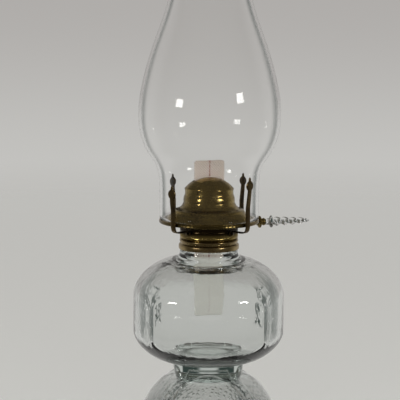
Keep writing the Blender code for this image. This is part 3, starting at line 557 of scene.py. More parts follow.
def coat(graph: Graph, values: dict, clear: object = None, share: object = None,
         volume: object = None) -> None:
    """Finish a material with a Principled BSDF, part of it let through where a transparent share is given.

    Args:
        graph: The material's graph.
        values: Values or sockets for the shader's inputs.
        clear: The transparent shader's colour, if any.
        share: The share of the transparent shader.
        volume: The volume's shader socket, if any.
    """
    solid = graph.add("ShaderNodeBsdfPrincipled", values).outputs[0]
    if share is not None:
        see_through = graph.add("ShaderNodeBsdfTransparent", {"Color": clear}).outputs[0]
        solid = graph.add("ShaderNodeMixShader", {0: share, 1: solid, 2: see_through}).outputs[0]
    depth = {"Volume": volume} if volume is not None else {}
    graph.add("ShaderNodeOutputMaterial", {"Surface": solid, **depth})


@dataclass(frozen=True)
class BrassFinish:
    """A brass or steel surface with tarnish."""

    name: str
    bright: Colour
    dull: Colour
    cover: float = 0.5
    patch_scale: float = 60.0
    edge_wear: float = 0.6
    smooth: float = 0.2
    rough: float = 0.42
    bump: float = 0.015 * MM
    # How strongly the painted shade under the gallery and the darker lip are laid on
    grime: float = 0.0

    def make(self, tarnish: bpy.types.NodeTree) -> bpy.types.Material:
        """Build the material around the shared tarnish group."""
        material, graph = new_material(self.name)
        group = graph.group(tarnish, bright=self.bright, dull=self.dull, cover=self.cover,
                            patch_scale=self.patch_scale, edge_wear=self.edge_wear, smooth=self.smooth,
                            rough=self.rough, grime=self.grime)
        coat(graph, {"Base Color": group.outputs["Color"], "Roughness": group.outputs["Roughness"],
                     "Normal": graph.bump(group.outputs["Height"], self.bump, 0.5), "Metallic": 1.0})
        return material


@dataclass(frozen=True)
class GlassFinish:
    """Clear glass with a trace of colour in its depth; lamps shine through it without a hard shadow."""

    name: str
    surface_colour: Colour = (1.0, 1.0, 1.0, 1.0)
    depth_colour: Colour = (0.55, 0.72, 0.66, 1.0)
    density: float = 0.0
    ior: float = 1.5
    wave_scale: float = 35.0
    stretch: float = 1.0
    fine: float = 0.2
    ripple: float = 0.1 * MM
    stipple: float = 0.0

    def make(self, ripples: bpy.types.NodeTree) -> bpy.types.Material:
        """Build the material: a transmitting shader with ripples on its surface and colour in its volume."""
        material, graph = new_material(self.name)
        group = graph.group(ripples, wave_scale=self.wave_scale, stretch=self.stretch, fine=self.fine,
                            stipple=self.stipple)
        depth = None
        if self.density > 0:
            depth = graph.add("ShaderNodeVolumeAbsorption", {
                "Color": self.depth_colour, "Density": self.density}).outputs[0]
        normal = graph.bump(group.outputs["Height"], self.ripple, 1.0)
        coat(graph, {"Base Color": self.surface_colour, "Roughness": 0.0, "IOR": self.ior,
                     "Transmission Weight": 1.0, "Normal": normal},
             self.surface_colour, graph.add("ShaderNodeLightPath").outputs["Is Shadow Ray"], depth)
        return material


@dataclass(frozen=True)
class CottonFinish:
    """Woven wick cotton with a dashed tracer thread, browned at the top, and even where oil soaks it."""

    name: str
    light: Colour = (0.68, 0.64, 0.58, 1.0)
    # Colour of the painted shade in the weave's hollows
    shade: Colour = (0.22, 0.12, 0.10, 1.0)
    soaked: Colour = (0.57, 0.57, 0.54, 1.0)
    soaked_height: float = 166 * MM
    tracer: Colour = (0.17, 0.02, 0.012, 1.0)
    tracer_half_width: float = 0.6 * MM
    dash_pitch: float = 3.4 * MM
    stain: Colour = (0.45, 0.38, 0.30, 1.0)
    scorch: Colour = (0.20, 0.16, 0.12, 1.0)
    scorch_height: float = 5 * MM

    def make(self, weave: bpy.types.NodeTree, wick_top: float) -> bpy.types.Material:
        """Build the material for a wick that ends at this height."""
        material, graph = new_material(self.name)
        group = graph.group(weave)
        split = graph.split(graph.add("ShaderNodeUVMap", uv_map="cloth").outputs[0])
        colour = graph.mix(graph.fit(group.outputs["Shade"], 0.28, 0.62), self.shade, self.light)
        stained = graph.fit(graph.noise(graph.place(), 90.0, 4.0), 0.35, 0.75)
        colour = graph.mix(graph.times(stained, 0.2), colour, self.stain)
        middle = graph.math("LESS_THAN", graph.math("ABSOLUTE", split[0]), self.tracer_half_width)
        beat = graph.math("FRACT", graph.math("DIVIDE", split[1], self.dash_pitch))
        dash = graph.times(middle, graph.math("LESS_THAN", beat, 0.55))
        colour = graph.mix(dash, colour, self.tracer)
        scorched = graph.fit(graph.plus(split[1],
                                        graph.times(graph.noise(graph.place(), 500.0), 2.5 * MM)),
                             wick_top - self.scorch_height, wick_top + 1.5 * MM)
        colour = graph.mix(graph.times(scorched, 0.25), colour, self.scorch)
        soaked = graph.fit(split[1], self.soaked_height + 4 * MM, self.soaked_height - 4 * MM)
        colour = graph.mix(graph.times(soaked, 0.82), colour, self.soaked)
        coat(graph, {"Base Color": colour, "Roughness": 0.92, "Sheen Weight": 0.15,
                     "Normal": graph.bump(group.outputs["Height"], 0.35 * MM, 0.8)})
        return material


@dataclass(frozen=True)
class PlasterFinish:
    """Off-white setting plaster."""

    name: str
    colour: Colour = (0.62, 0.58, 0.50, 1.0)
    grains: Colour = (0.42, 0.37, 0.30, 1.0)

    def make(self) -> bpy.types.Material:
        """Build the material."""
        material, graph = new_material(self.name)
        grain = graph.noise(graph.place(), 700.0, 4.0)
        coat(graph, {"Base Color": graph.mix(graph.fit(grain, 0.3, 0.7), self.colour, self.grains),
                     "Roughness": 0.85, "Normal": graph.bump(grain, 0.1 * MM, 0.6)})
        return material


class Finish(Enum):
    """The finishes of the lamp, named as the record's slots are."""

    PRESSED_GLASS = "pressed_glass"
    CHIMNEY_GLASS = "chimney_glass"
    CRYSTAL = "crystal"
    ANTIQUE_BRASS = "antique_brass"
    COLLAR_BRASS = "collar_brass"
    SPRING_BRASS = "spring_brass"
    WINDER_STEEL = "winder_steel"
    PLASTER = "plaster"
    COTTON = "cotton"


class Palette:
    """Every finish of the lamp, made once."""

    def __init__(self, wick_top: float) -> None:
        """Make the shared groups and the materials."""
        tarnish, ripples, weave = tarnish_group(), ripple_group(), weave_group()
        self.made: dict[Finish, bpy.types.Material] = {
            Finish.PRESSED_GLASS: GlassFinish(
                "pressed_glass", surface_colour=(0.975, 0.985, 0.98, 1.0), depth_colour=(0.48, 0.62, 0.57, 1.0),
                density=9.0, ior=1.5, wave_scale=34.0, stretch=0.5, fine=0.2, ripple=0.45 * MM,
                stipple=0.3).make(ripples),
            Finish.CHIMNEY_GLASS: GlassFinish(
                "chimney_glass", ior=1.35, wave_scale=22.0, stretch=0.25, fine=0.05,
                ripple=0.05 * MM).make(ripples),
            Finish.CRYSTAL: GlassFinish(
                "crystal", depth_colour=(0.84, 0.86, 0.84, 1.0), density=2.0, ior=1.55, wave_scale=150.0,
                ripple=0.1 * MM).make(ripples),
            Finish.ANTIQUE_BRASS: BrassFinish(
                "antique_brass", (0.34, 0.25, 0.085, 1.0), (0.12, 0.085, 0.04, 1.0), cover=0.42,
                patch_scale=45.0, smooth=0.17, rough=0.3, grime=0.95).make(tarnish),
            Finish.COLLAR_BRASS: BrassFinish(
                "collar_brass", (0.36, 0.27, 0.13, 1.0), (0.12, 0.075, 0.035, 1.0), cover=0.42, smooth=0.2,
                rough=0.34).make(tarnish),
            Finish.SPRING_BRASS: BrassFinish(
                "spring_brass", (0.17, 0.12, 0.055, 1.0), (0.04, 0.025, 0.014, 1.0), cover=0.5, smooth=0.24,
                rough=0.42).make(tarnish),
            Finish.WINDER_STEEL: BrassFinish(
                "winder_steel", (0.42, 0.38, 0.30, 1.0), (0.12, 0.09, 0.06, 1.0), cover=0.5).make(tarnish),
            Finish.PLASTER: PlasterFinish("plaster").make(),
            Finish.COTTON: CottonFinish("cotton").make(weave, wick_top),
        }

    def dress(self, finish: Finish, body: str, *stands_for: str) -> Dress:
        """A dress for a new piece: its finish, body and replaced nodes."""
        return Dress(self.made[finish], finish.value, body, stands_for)

    def repaint(self, node: str, finish: Finish) -> None:
        """Give a CAD node that keeps its own mesh the finish."""
        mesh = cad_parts[node].data
        mesh.materials.clear()
        mesh.materials.append(self.made[finish])
        log.info("%s: keeps its mesh, in %s", node, finish.value)


# ================= the glass stand =================

@dataclass
class GlassStand:
    """Font, stem and foot, pressed in one: four bowed panels above, four lobes below."""

    columns: int = 320
    spigot_radius: float = 21.0 * MM
    spigot_bore: float = 19.2 * MM
    spigot_top: float = 181.4 * MM
    neck_radius: float = 22.4 * MM
    neck_top: float = 174.3 * MM
    shoulder_centre: tuple[float, float] = (12.0 * MM, 138.0 * MM)
    shoulder_height: float = 31.5 * MM
    belly_centre: tuple[float, float] = (30.0 * MM, 111.0 * MM)
    belly_height: float = 22.5 * MM
    belly_power: float = 1.7
    panel_radius: float = 58.1 * MM
    panel_bow: float = 0.143
    relief: float = 0.6 * MM
    groove: float = 0.55 * MM
    relief_middle: float = 124.0 * MM
    relief_half_height: float = 20.5 * MM
    relief_corner: float = 10.0 * MM
    land: float = 0.9 * MM
    ring_level: float = 165.6 * MM
    wall: float = 4.2 * MM
    floor: float = 95.0 * MM
    roof: float = 164.0 * MM
    throat: tuple[float, float] = (24.0 * MM, 158.2 * MM)
    stem_radius: float = 26.1 * MM
    stem_top: float = 88.7 * MM
    arch_top: float = 84.4 * MM
    arch_step: float = 1.5 * MM
    frame_width: float = 3.6 * MM
    ridge: float = 0.7 * MM
    dome_top: float = 75.0 * MM
    foot_radius: float = 61.0 * MM
    foot_rim: float = 5.0 * MM
    dome_power: float = 1.9
    hollow_radius: float = 54.5 * MM
    hollow_top_radius: float = 14.0 * MM
    hollow_top: float = 67.0 * MM

    def off_middle(self, angles: Array) -> Array:
        """Angle off the middle of the nearest panel or lobe."""
        return (angles + math.pi / 4) % (math.pi / 2) - math.pi / 4

    def panel(self, angles: Array, radius: float, bow: float) -> Array:
        """Distance to four bowed panels.

        Each panel is an arc whose centre lies `bow` radii behind the axis, so the distance is the root of
        (1 + bow) squared less (bow sine) squared, less bow cosine, times the radius, at the angle off
        mid-panel.
        """
        turn = self.off_middle(angles)
        return radius * (np.sqrt((1 + bow) ** 2 - (bow * np.sin(turn)) ** 2) - bow * np.cos(turn))

    def panelled(self, angles: Array, z: Array) -> Array:
        """Factor on the font's radius: the panels' outline, faded out on the shoulder and below."""
        middle, top = self.belly_centre[1], self.shoulder_centre[1]
        fade = band(z, (middle - 0.6 * self.belly_height, middle), (top, top + 0.5 * self.shoulder_height))
        return 1 + (self.panel(angles, 1.0, self.panel_bow)[None, :] - 1) * fade[:, None]

    def panel_relief(self, angles: Array, z: Array) -> Array:
        """Depth of the groove that outlines each panel, as a negative height.

        The distance to a rectangle with round corners is worked out in arc length and height; the groove is a
        bell curve over it, and fades out along the panel's ends.
        """
        across = np.abs(self.off_middle(angles))[None, :] * self.panel_radius
        half = self.panel_radius * math.pi / 4 - self.land
        corner = self.relief_corner
        along = np.abs(z - self.relief_middle)[:, None]
        u, v = across - half + corner, along - self.relief_half_height + corner
        gap = np.hypot(np.maximum(u, 0), np.maximum(v, 0)) + np.minimum(np.maximum(u, v), 0) - corner
        return -self.relief * np.exp(-((gap / self.groove) ** 2)) * step_between(u / corner, 0.05, 0.7)

    def font_outside(self, angles: Array) -> tuple[Array, Array]:
        """The font's outside, from the neck down to the stem.

        Its profile is a shoulder and a belly, each a quarter superellipse, with a straight stretch between;
        the radius is the profile's times the panels' factor, plus the relief and a faint ring on the shoulder.

        Args:
            angles: The columns' angles.

        Returns:
            Radii as (rows, columns), and heights as (rows,).
        """
        (sc, sz), (bc, bz) = self.shoulder_centre, self.belly_centre
        shares = np.sin(np.linspace(math.asin(0.969), 0, 46))
        shoulder = quarter(sc, self.panel_radius - sc, shares, 2.0)
        middle = np.linspace(sz, bz, 26)[1:-1]
        drop = np.sin(np.linspace(0, math.pi / 2, 50))
        belly = quarter(bc, self.panel_radius - bc, drop, self.belly_power)
        radii = np.concatenate([shoulder, np.full(len(middle), self.panel_radius), belly])
        heights = np.concatenate([sz + self.shoulder_height * shares, middle, bz - self.belly_height * drop])
        ring = 0.5 * MM * np.exp(-(((heights - self.ring_level) / (0.35 * MM)) ** 2))
        panelled = (radii + ring)[:, None] * self.panelled(angles, heights)
        return panelled + self.panel_relief(angles, heights), heights

    def stem_and_foot(self, angles: Array) -> tuple[Array, Array]:
        """The stem and the domed foot's outside, from the font down.

        From the arch down, each lobe carries a raised frame whose border widens from 32 to 45 degrees off the
        lobe's middle, with a sunken arch inside it; a narrow ridge runs down the dome between the lobes.

        Args:
            angles: The columns' angles.

        Returns:
            Radii as (rows, columns), and heights as (rows,).
        """
        heights = np.concatenate([
            np.linspace(self.stem_top, self.arch_top + 1.2 * MM, 8),
            np.linspace(self.arch_top + 1.0 * MM, self.dome_top - 6 * MM, 54),
            np.linspace(self.dome_top - 6.4 * MM, 40 * MM, 56), np.linspace(39 * MM, self.foot_rim, 24)])
        share = np.clip((heights - self.foot_rim) / (self.dome_top - self.foot_rim), 0, 1)
        radii = quarter(self.stem_radius, self.foot_radius - self.stem_radius, share, self.dome_power)
        turn = np.abs(self.off_middle(angles))[None, :]
        z = heights[:, None]
        lobed = step_between(z, self.foot_rim, 4 * self.foot_rim)
        factor = 1 + (self.panel(angles, 1.0, 0.25)[None, :] - 1) * lobed
        drop = self.arch_top - z
        spread = np.radians(32 + 13 * np.clip(drop / (11 * MM), 0, 1))
        inside = step_between(drop, -0.35 * MM, 0.35 * MM) * (1 - step_between(turn - spread, -0.018, 0.018))
        inner_drop = drop - self.frame_width - 0.35 * self.stem_radius * (turn / spread) ** 2
        sunken = step_between(inner_drop, -0.5 * MM, 0.5 * MM) * (
            1 - step_between(turn - spread + self.frame_width / radii[:, None], -0.02, 0.02))
        sunken = 0.8 * sunken + 0.3 * step_between(drop, -2 * MM, 6 * MM)
        ridges = self.ridge * np.exp(-(((turn - math.pi / 4) / math.radians(2.6)) ** 2))
        ridges = ridges * step_between(drop, 7 * MM, 11 * MM)
        return radii[:, None] * factor + (self.arch_step * (inside * 0.7 - sunken) + ridges) * lobed, heights

    def build(self, palette: Palette) -> None:
        """Join outside, foot, hollow and inside into one closed surface."""
        angles = around(self.columns)
        ones = np.ones(self.columns)
        font, font_z = self.font_outside(angles)
        stem, stem_z = self.stem_and_foot(angles)
        bore, (throat_r, throat_z) = self.spigot_bore, self.throat
        rim = off((bore, throat_z), (0, 7)) + [(bore, self.spigot_top), (self.spigot_radius, self.spigot_top)]
        rim += off((self.spigot_radius, self.neck_top), (0, 0.4))
        rim += off((self.neck_radius, self.neck_top), (0, -0.2), (0, -3.4))
        rim += off((float(font[0].min()), font_z[0]), (0.2, 0.4))
        rim = spaced(eased(rim, 0.8 * MM, passes=3), 70)
        (sc, sz), (bc, bz) = self.shoulder_centre, self.belly_centre
        inner = self.panel_radius - self.wall
        low = np.sin(np.linspace(math.pi / 2, 0, 30))
        high = np.sin(np.linspace(0, math.acos((throat_r + 3.2 * MM - sc) / (inner - sc)), 34))
        throat = [(throat_r + 3.2 * MM, sz + (self.roof - sz) * float(high[-1]))]
        throat += off(self.throat, (1.4, 0.6), (0.2, 0), (-1.2, 0.3))
        throat += off((bore, throat_z), (0.9, 2.4), (0, 5.4))
        throat = eased(throat, 0.7 * MM)
        inside_r = np.concatenate([
            np.linspace(2 * MM, bc, 10)[:-1], quarter(bc, inner - bc, low, self.belly_power), [inner] * 4,
            quarter(sc, inner - sc, high, 2.0), throat[1:, 0]])
        inside_z = np.concatenate([
            np.full(9, self.floor), bz + (self.floor - bz) * low, np.linspace(bz, sz, 6)[1:-1],
            sz + (self.roof - sz) * high, throat[1:, 1]])
        inside = inside_r[:, None] * self.panelled(angles, inside_z)
        hollow_share = np.sin(np.linspace(0, math.pi / 2, 40))
        hollow_z = self.foot_rim + (self.hollow_top - self.foot_rim) * hollow_share
        hollow_r = quarter(self.hollow_top_radius, self.hollow_radius - self.hollow_top_radius, hollow_share,
                           self.dome_power)
        lobes = 1 + (self.panel(angles, 1.0, 0.2)[None, :] - 1) * step_between(
            hollow_z[:, None], self.foot_rim, 4 * self.foot_rim)
        foot = off((self.foot_radius, self.foot_rim), (0, -0.5)) + [(self.foot_radius, 0.0)]
        foot += [(self.hollow_radius, 0.0)] + off((self.hollow_radius, self.foot_rim), (0, -0.3))
        foot = spaced(eased(foot, 0.9 * MM), 24)
        rows_r = [inside, rim[:, :1] * ones, font[1:], stem[1:], foot[:, :1] * ones, hollow_r[:, None] * lobes]
        rows_z = [inside_z, rim[:, 1], font_z[1:], stem_z[1:], foot[:, 1], hollow_z]
        grid = revolve(np.concatenate(rows_r), np.concatenate(rows_z), angles)
        shell = surface(grid, first=(0, 0, self.floor), last=(0, 0, self.hollow_top))
        make_piece("glass_stand", shell, palette.dress(Finish.PRESSED_GLASS, "lamp", "font", "pedestal"), 60.0)


# ================= collar and burner =================

@dataclass
class Collar:
    """Spun brass collar on the font's spigot: an upper bead, a groove and a rounded skirt."""

    columns: int = 160
    top: float = 182.5 * MM
    bore: float = 17.9 * MM
    tube_outer: float = 18.7 * MM
    spigot: float = 21.3 * MM
    skirt_outer: float = 23.3 * MM
    skirt_inner: float = 22.5 * MM
    height: float = 7.9 * MM

    def build(self, palette: Palette) -> None:
        """Turn the collar and paint its plaster."""
        top, bottom = self.top, self.top - self.height
        groove = top - 3.0 * MM
        loop = off((self.bore, top), (0, -0.2))
        loop += off((self.spigot, top), (0.2, 0), (1.0, -0.3), (1.35, -1.2), (1.0, -2.2))
        loop += off((self.spigot, groove), (0.55, 0.1), (0.75, -0.3))
        loop += off((self.skirt_outer, groove), (-0.3, -0.9), (0, -2.0))
        loop += off((self.skirt_outer, bottom), (0, 1.3), (-0.15, 0.2))
        loop += off((self.skirt_inner, bottom), (0.1, 0), (0, 0.4)) + off((self.skirt_inner, groove), (0, -1.4))
        loop += off((self.spigot, groove), (0, -0.6)) + off((self.spigot, top), (0, -0.8))
        loop += off((self.tube_outer, top), (0, -0.8)) + off((self.tube_outer, bottom), (0, 1.0))
        loop += off((self.bore, bottom), (0, 1.0))
        make_piece("collar_beaded", spun(eased(loop, 0.35 * MM, closed=True), self.columns),
                   palette.dress(Finish.COLLAR_BRASS, "lamp", "collar"))
        palette.repaint("collar_plaster", Finish.PLASTER)


@dataclass
class Burner:
    """Screw shell, ribbed basket and gallery, with the plain parts inside them."""

    basket_radius: float = 22.4 * MM
    basket_bottom: float = 183.8 * MM
    basket_top: float = 195.0 * MM
    sheet: float = 0.7 * MM
    ribs: int = 110
    rib_depth: float = 0.22 * MM
    plate_top: float = 196.0 * MM
    plate_inner: float = 20.6 * MM
    seat_top: float = 197.8 * MM
    seat_inner: float = 35.0 * MM
    gallery_radius: float = 38.4 * MM
    lip_height: float = 2.8 * MM
    lip_teeth: int = 96

    def screw_shell(self, palette: Palette) -> None:
        """Rolled thread rings under a rounded flange, made as one closed turned loop."""
        outer, bore, bottom, flange = 17.5 * MM, 16.45 * MM, 175.8 * MM, 182.8 * MM
        turns = np.linspace(0, 3, 49)
        thread_r = outer - 0.35 * MM * (0.5 + 0.5 * np.cos(math.tau * turns))
        thread_z = flange - 0.6 * MM - turns * 1.8 * MM
        edge = self.basket_radius
        loop = [(bore, flange + self.sheet), (edge - 0.35 * MM, flange + self.sheet)]
        loop += off((edge, flange), (0, 0.35), (-0.35, 0)) + off((outer, flange), (-0.35, 0))
        loop += list(zip(thread_r.tolist(), thread_z.tolist()))
        loop += [(outer - 0.35 * MM, bottom), (bore, bottom)]
        make_piece("screw_shell_rolled", spun(np.array(loop), 120),
                   palette.dress(Finish.ANTIQUE_BRASS, "burner", "screw_shell"))

    def basket(self, palette: Palette) -> None:
        """The basket's wall: its outer radius carries fine upright ribs between smooth bands.

        Outside, the radius is the wall's plus the bands' swell, less the rib depth times half of one minus the
        cosine of the rib count times the angle, wherever the height lies between the bands.
        """
        low, high = self.basket_bottom, self.basket_top
        columns = self.ribs * 8
        angles = around(columns)
        z = np.linspace(low, high, 56)
        bands = sum(np.exp(-(((z - low - at) / (0.45 * MM)) ** 2)) for at in (0.5 * MM, 5.2 * MM, 10.6 * MM))
        ribbed = band(z, (low + 1.1 * MM, low + 1.5 * MM), (low + 4.4 * MM, low + 4.7 * MM))
        ribbed += band(z, (low + 5.8 * MM, low + 6.1 * MM), (high - 1.2 * MM, high - 0.9 * MM))
        cut = 0.5 - 0.5 * np.cos(self.ribs * angles)
        outside = (self.basket_radius - 0.12 * MM + 0.12 * MM * bands)[:, None] - (
            self.rib_depth * ribbed[:, None] * cut[None, :])
        inside = np.full((2, columns), self.basket_radius - self.sheet)
        grid = revolve(np.concatenate([outside, inside]), np.concatenate([z, [high, low]]), angles)
        make_piece("basket_ribbed", surface(grid, ring_closed=True),
                   palette.dress(Finish.ANTIQUE_BRASS, "burner", "basket"))

    def gallery(self, palette: Palette) -> None:
        """Plate, seat and lip as one closed turned loop; the lip's face is milled.

        The lip's radius loses a tooth's depth times half of one minus the cosine of the tooth count times the
        angle, on its middle band only.
        """
        plate, seat, sheet = self.plate_top, self.seat_top, self.sheet
        edge, lip = self.gallery_radius, self.seat_top - self.lip_height
        loop = [(self.plate_inner, plate)]
        loop += off((self.seat_inner, plate), (-1.0, 0)) + off((self.seat_inner, seat), (0, -0.1))
        loop += off((edge, seat), (-1.5, -0.1), (-0.7, 0), (-0.1, -0.35), (-0.2, -0.75), (-0.55, -1.0),
                    (-0.2, -1.2), (0, -1.5))
        loop += off((edge, lip), (0, 0.7), (-0.3, 0.1)) + off((edge - sheet, lip), (0, 0), (-0.2, 0.5))
        loop += off((edge - sheet, seat - sheet), (-0.2, 0)) + off((self.seat_inner, seat - sheet), (0.6, 0))
        loop += off((self.seat_inner, plate - sheet), (-0.4, 0)) + [(self.plate_inner, plate - sheet)]
        outline = eased(loop, 0.25 * MM, closed=True)
        columns = self.lip_teeth * 6
        angles = around(columns)
        milled = (outline[:, 0] > edge - 0.3 * MM) * band(
            outline[:, 1], (lip + 0.3 * MM, lip + 0.5 * MM), (seat - 1.35 * MM, seat - 1.2 * MM))
        radii = outline[:, :1] - 0.08 * MM * milled[:, None] * (0.5 - 0.5 * np.cos(self.lip_teeth * angles))
        grid = revolve(radii, outline[:, 1], angles)
        make_piece("gallery_crown", surface(grid, ring_closed=True),
                   palette.dress(Finish.ANTIQUE_BRASS, "burner", "gallery"))

    def build(self, palette: Palette) -> None:
        """Make the three shells and paint what stays as it is."""
        self.screw_shell(palette)
        self.basket(palette)
        self.gallery(palette)
        for node in ("base_plate", "wick_tube", "vent_tube", "winder_housing", "shaft_bush"):
            palette.repaint(node, Finish.ANTIQUE_BRASS)


@dataclass
class Cone:
    """Spun deflector: a domed top with the wick's slot, a long waist, a step and a spread skirt."""

    columns: int = 256
    bottom: float = 196.3 * MM
    top: float = 230.7 * MM
    dome: float = 18.9 * MM
    skirt: float = 32.6 * MM
    cap: float = 9.0 * MM
    sheet: float = 0.7 * MM
    slot_half_width: float = 13.05 * MM
    slot_half_depth: float = 2.4 * MM

    def slot_radius(self, angles: Array) -> Array:
        """Distance to a slot with round ends: the side's where the ray meets it, else the end circle's."""
        reach, half = self.slot_half_width - self.slot_half_depth, self.slot_half_depth
        sine, cosine = np.abs(np.sin(angles)), np.abs(np.cos(angles))
        side = half / np.maximum(sine, 1e-6)
        end = reach * cosine + np.sqrt(np.maximum(half**2 - (reach * sine) ** 2, 0))
        return np.where(side * cosine <= reach, side, end)

    def outline(self) -> Array:
        """The outer profile from the axis down to the foot, with its steps rounded."""
        top, base, dome, skirt = self.top, self.bottom, self.dome, self.skirt
        rim = dome - 0.3 * MM
        ball = (self.cap**2 + rim**2) / (2 * self.cap)
        cap_r = np.linspace(0, rim, 24)
        cap = np.stack([cap_r, top - ball + np.sqrt(ball**2 - cap_r**2)], axis=-1)
        edge = top - self.cap
        points = off((dome, edge), (-0.3, 0), (0.1, -0.3), (0, -0.9), (-0.35, -1.3), (-0.3, -5.0), (0.3, -5.9),
                     (0.8, -8.0), (0.9, -10.2), (0.6, -11.0), (1.2, -11.5), (1.7, -13.2), (3.6, -15.2),
                     (6.2, -16.1), (7.4, -16.4), (8.2, -17.0), (8.5, -18.2))
        points += off((skirt, base), (-2.4, 4.9), (-0.3, 2.9), (0, 2.0), (0, 0.3), (-0.2, 0))
        return np.concatenate([cap[:-1], eased(points, 0.5 * MM, passes=3)])

    def build(self, palette: Palette) -> None:
        """Work the dome out on a polar grid.

        Near the slot a point lies between the slot's edge and the dome's outer ring, by its row's share, and
        takes the dome's height at its own radius; below the ring it follows the profile. The inside is the
        same, moved in by the sheet's thickness along the profile's normal.
        """
        angles = around(self.columns)
        line = spaced(self.outline(), 420)
        inner_line = line + sides(line) * self.sheet
        ring = 0.93 * self.dome
        slot = self.slot_radius(angles)
        share = np.linspace(0, 1, 26)[:, None] ** 1.2
        down = int(np.argmax(line[:, 0] > ring))
        ones = np.ones_like(angles)
        rows_r, rows_z = [], []
        for profile in (line, inner_line):
            head, low = profile[:down + 2], profile[down + 1::2]
            reach = float(np.interp(ring, line[:down + 2, 0], head[:, 0]))
            near = slot[None, :] + (reach - slot)[None, :] * share
            rows_r.append(np.concatenate([near, low[:, :1] * ones]))
            rows_z.append(np.concatenate([np.interp(near, head[:, 0], head[:, 1]), low[:, 1:] * ones]))
        grid = revolve(np.concatenate([rows_r[0], rows_r[1][::-1]]),
                       np.concatenate([rows_z[0], rows_z[1][::-1]]), angles)
        shell = surface(turned_about_z(grid, BURNER_TURN), ring_closed=True)
        make_piece("deflector_cone", shell, palette.dress(Finish.ANTIQUE_BRASS, "cone", "cone"), 50.0)


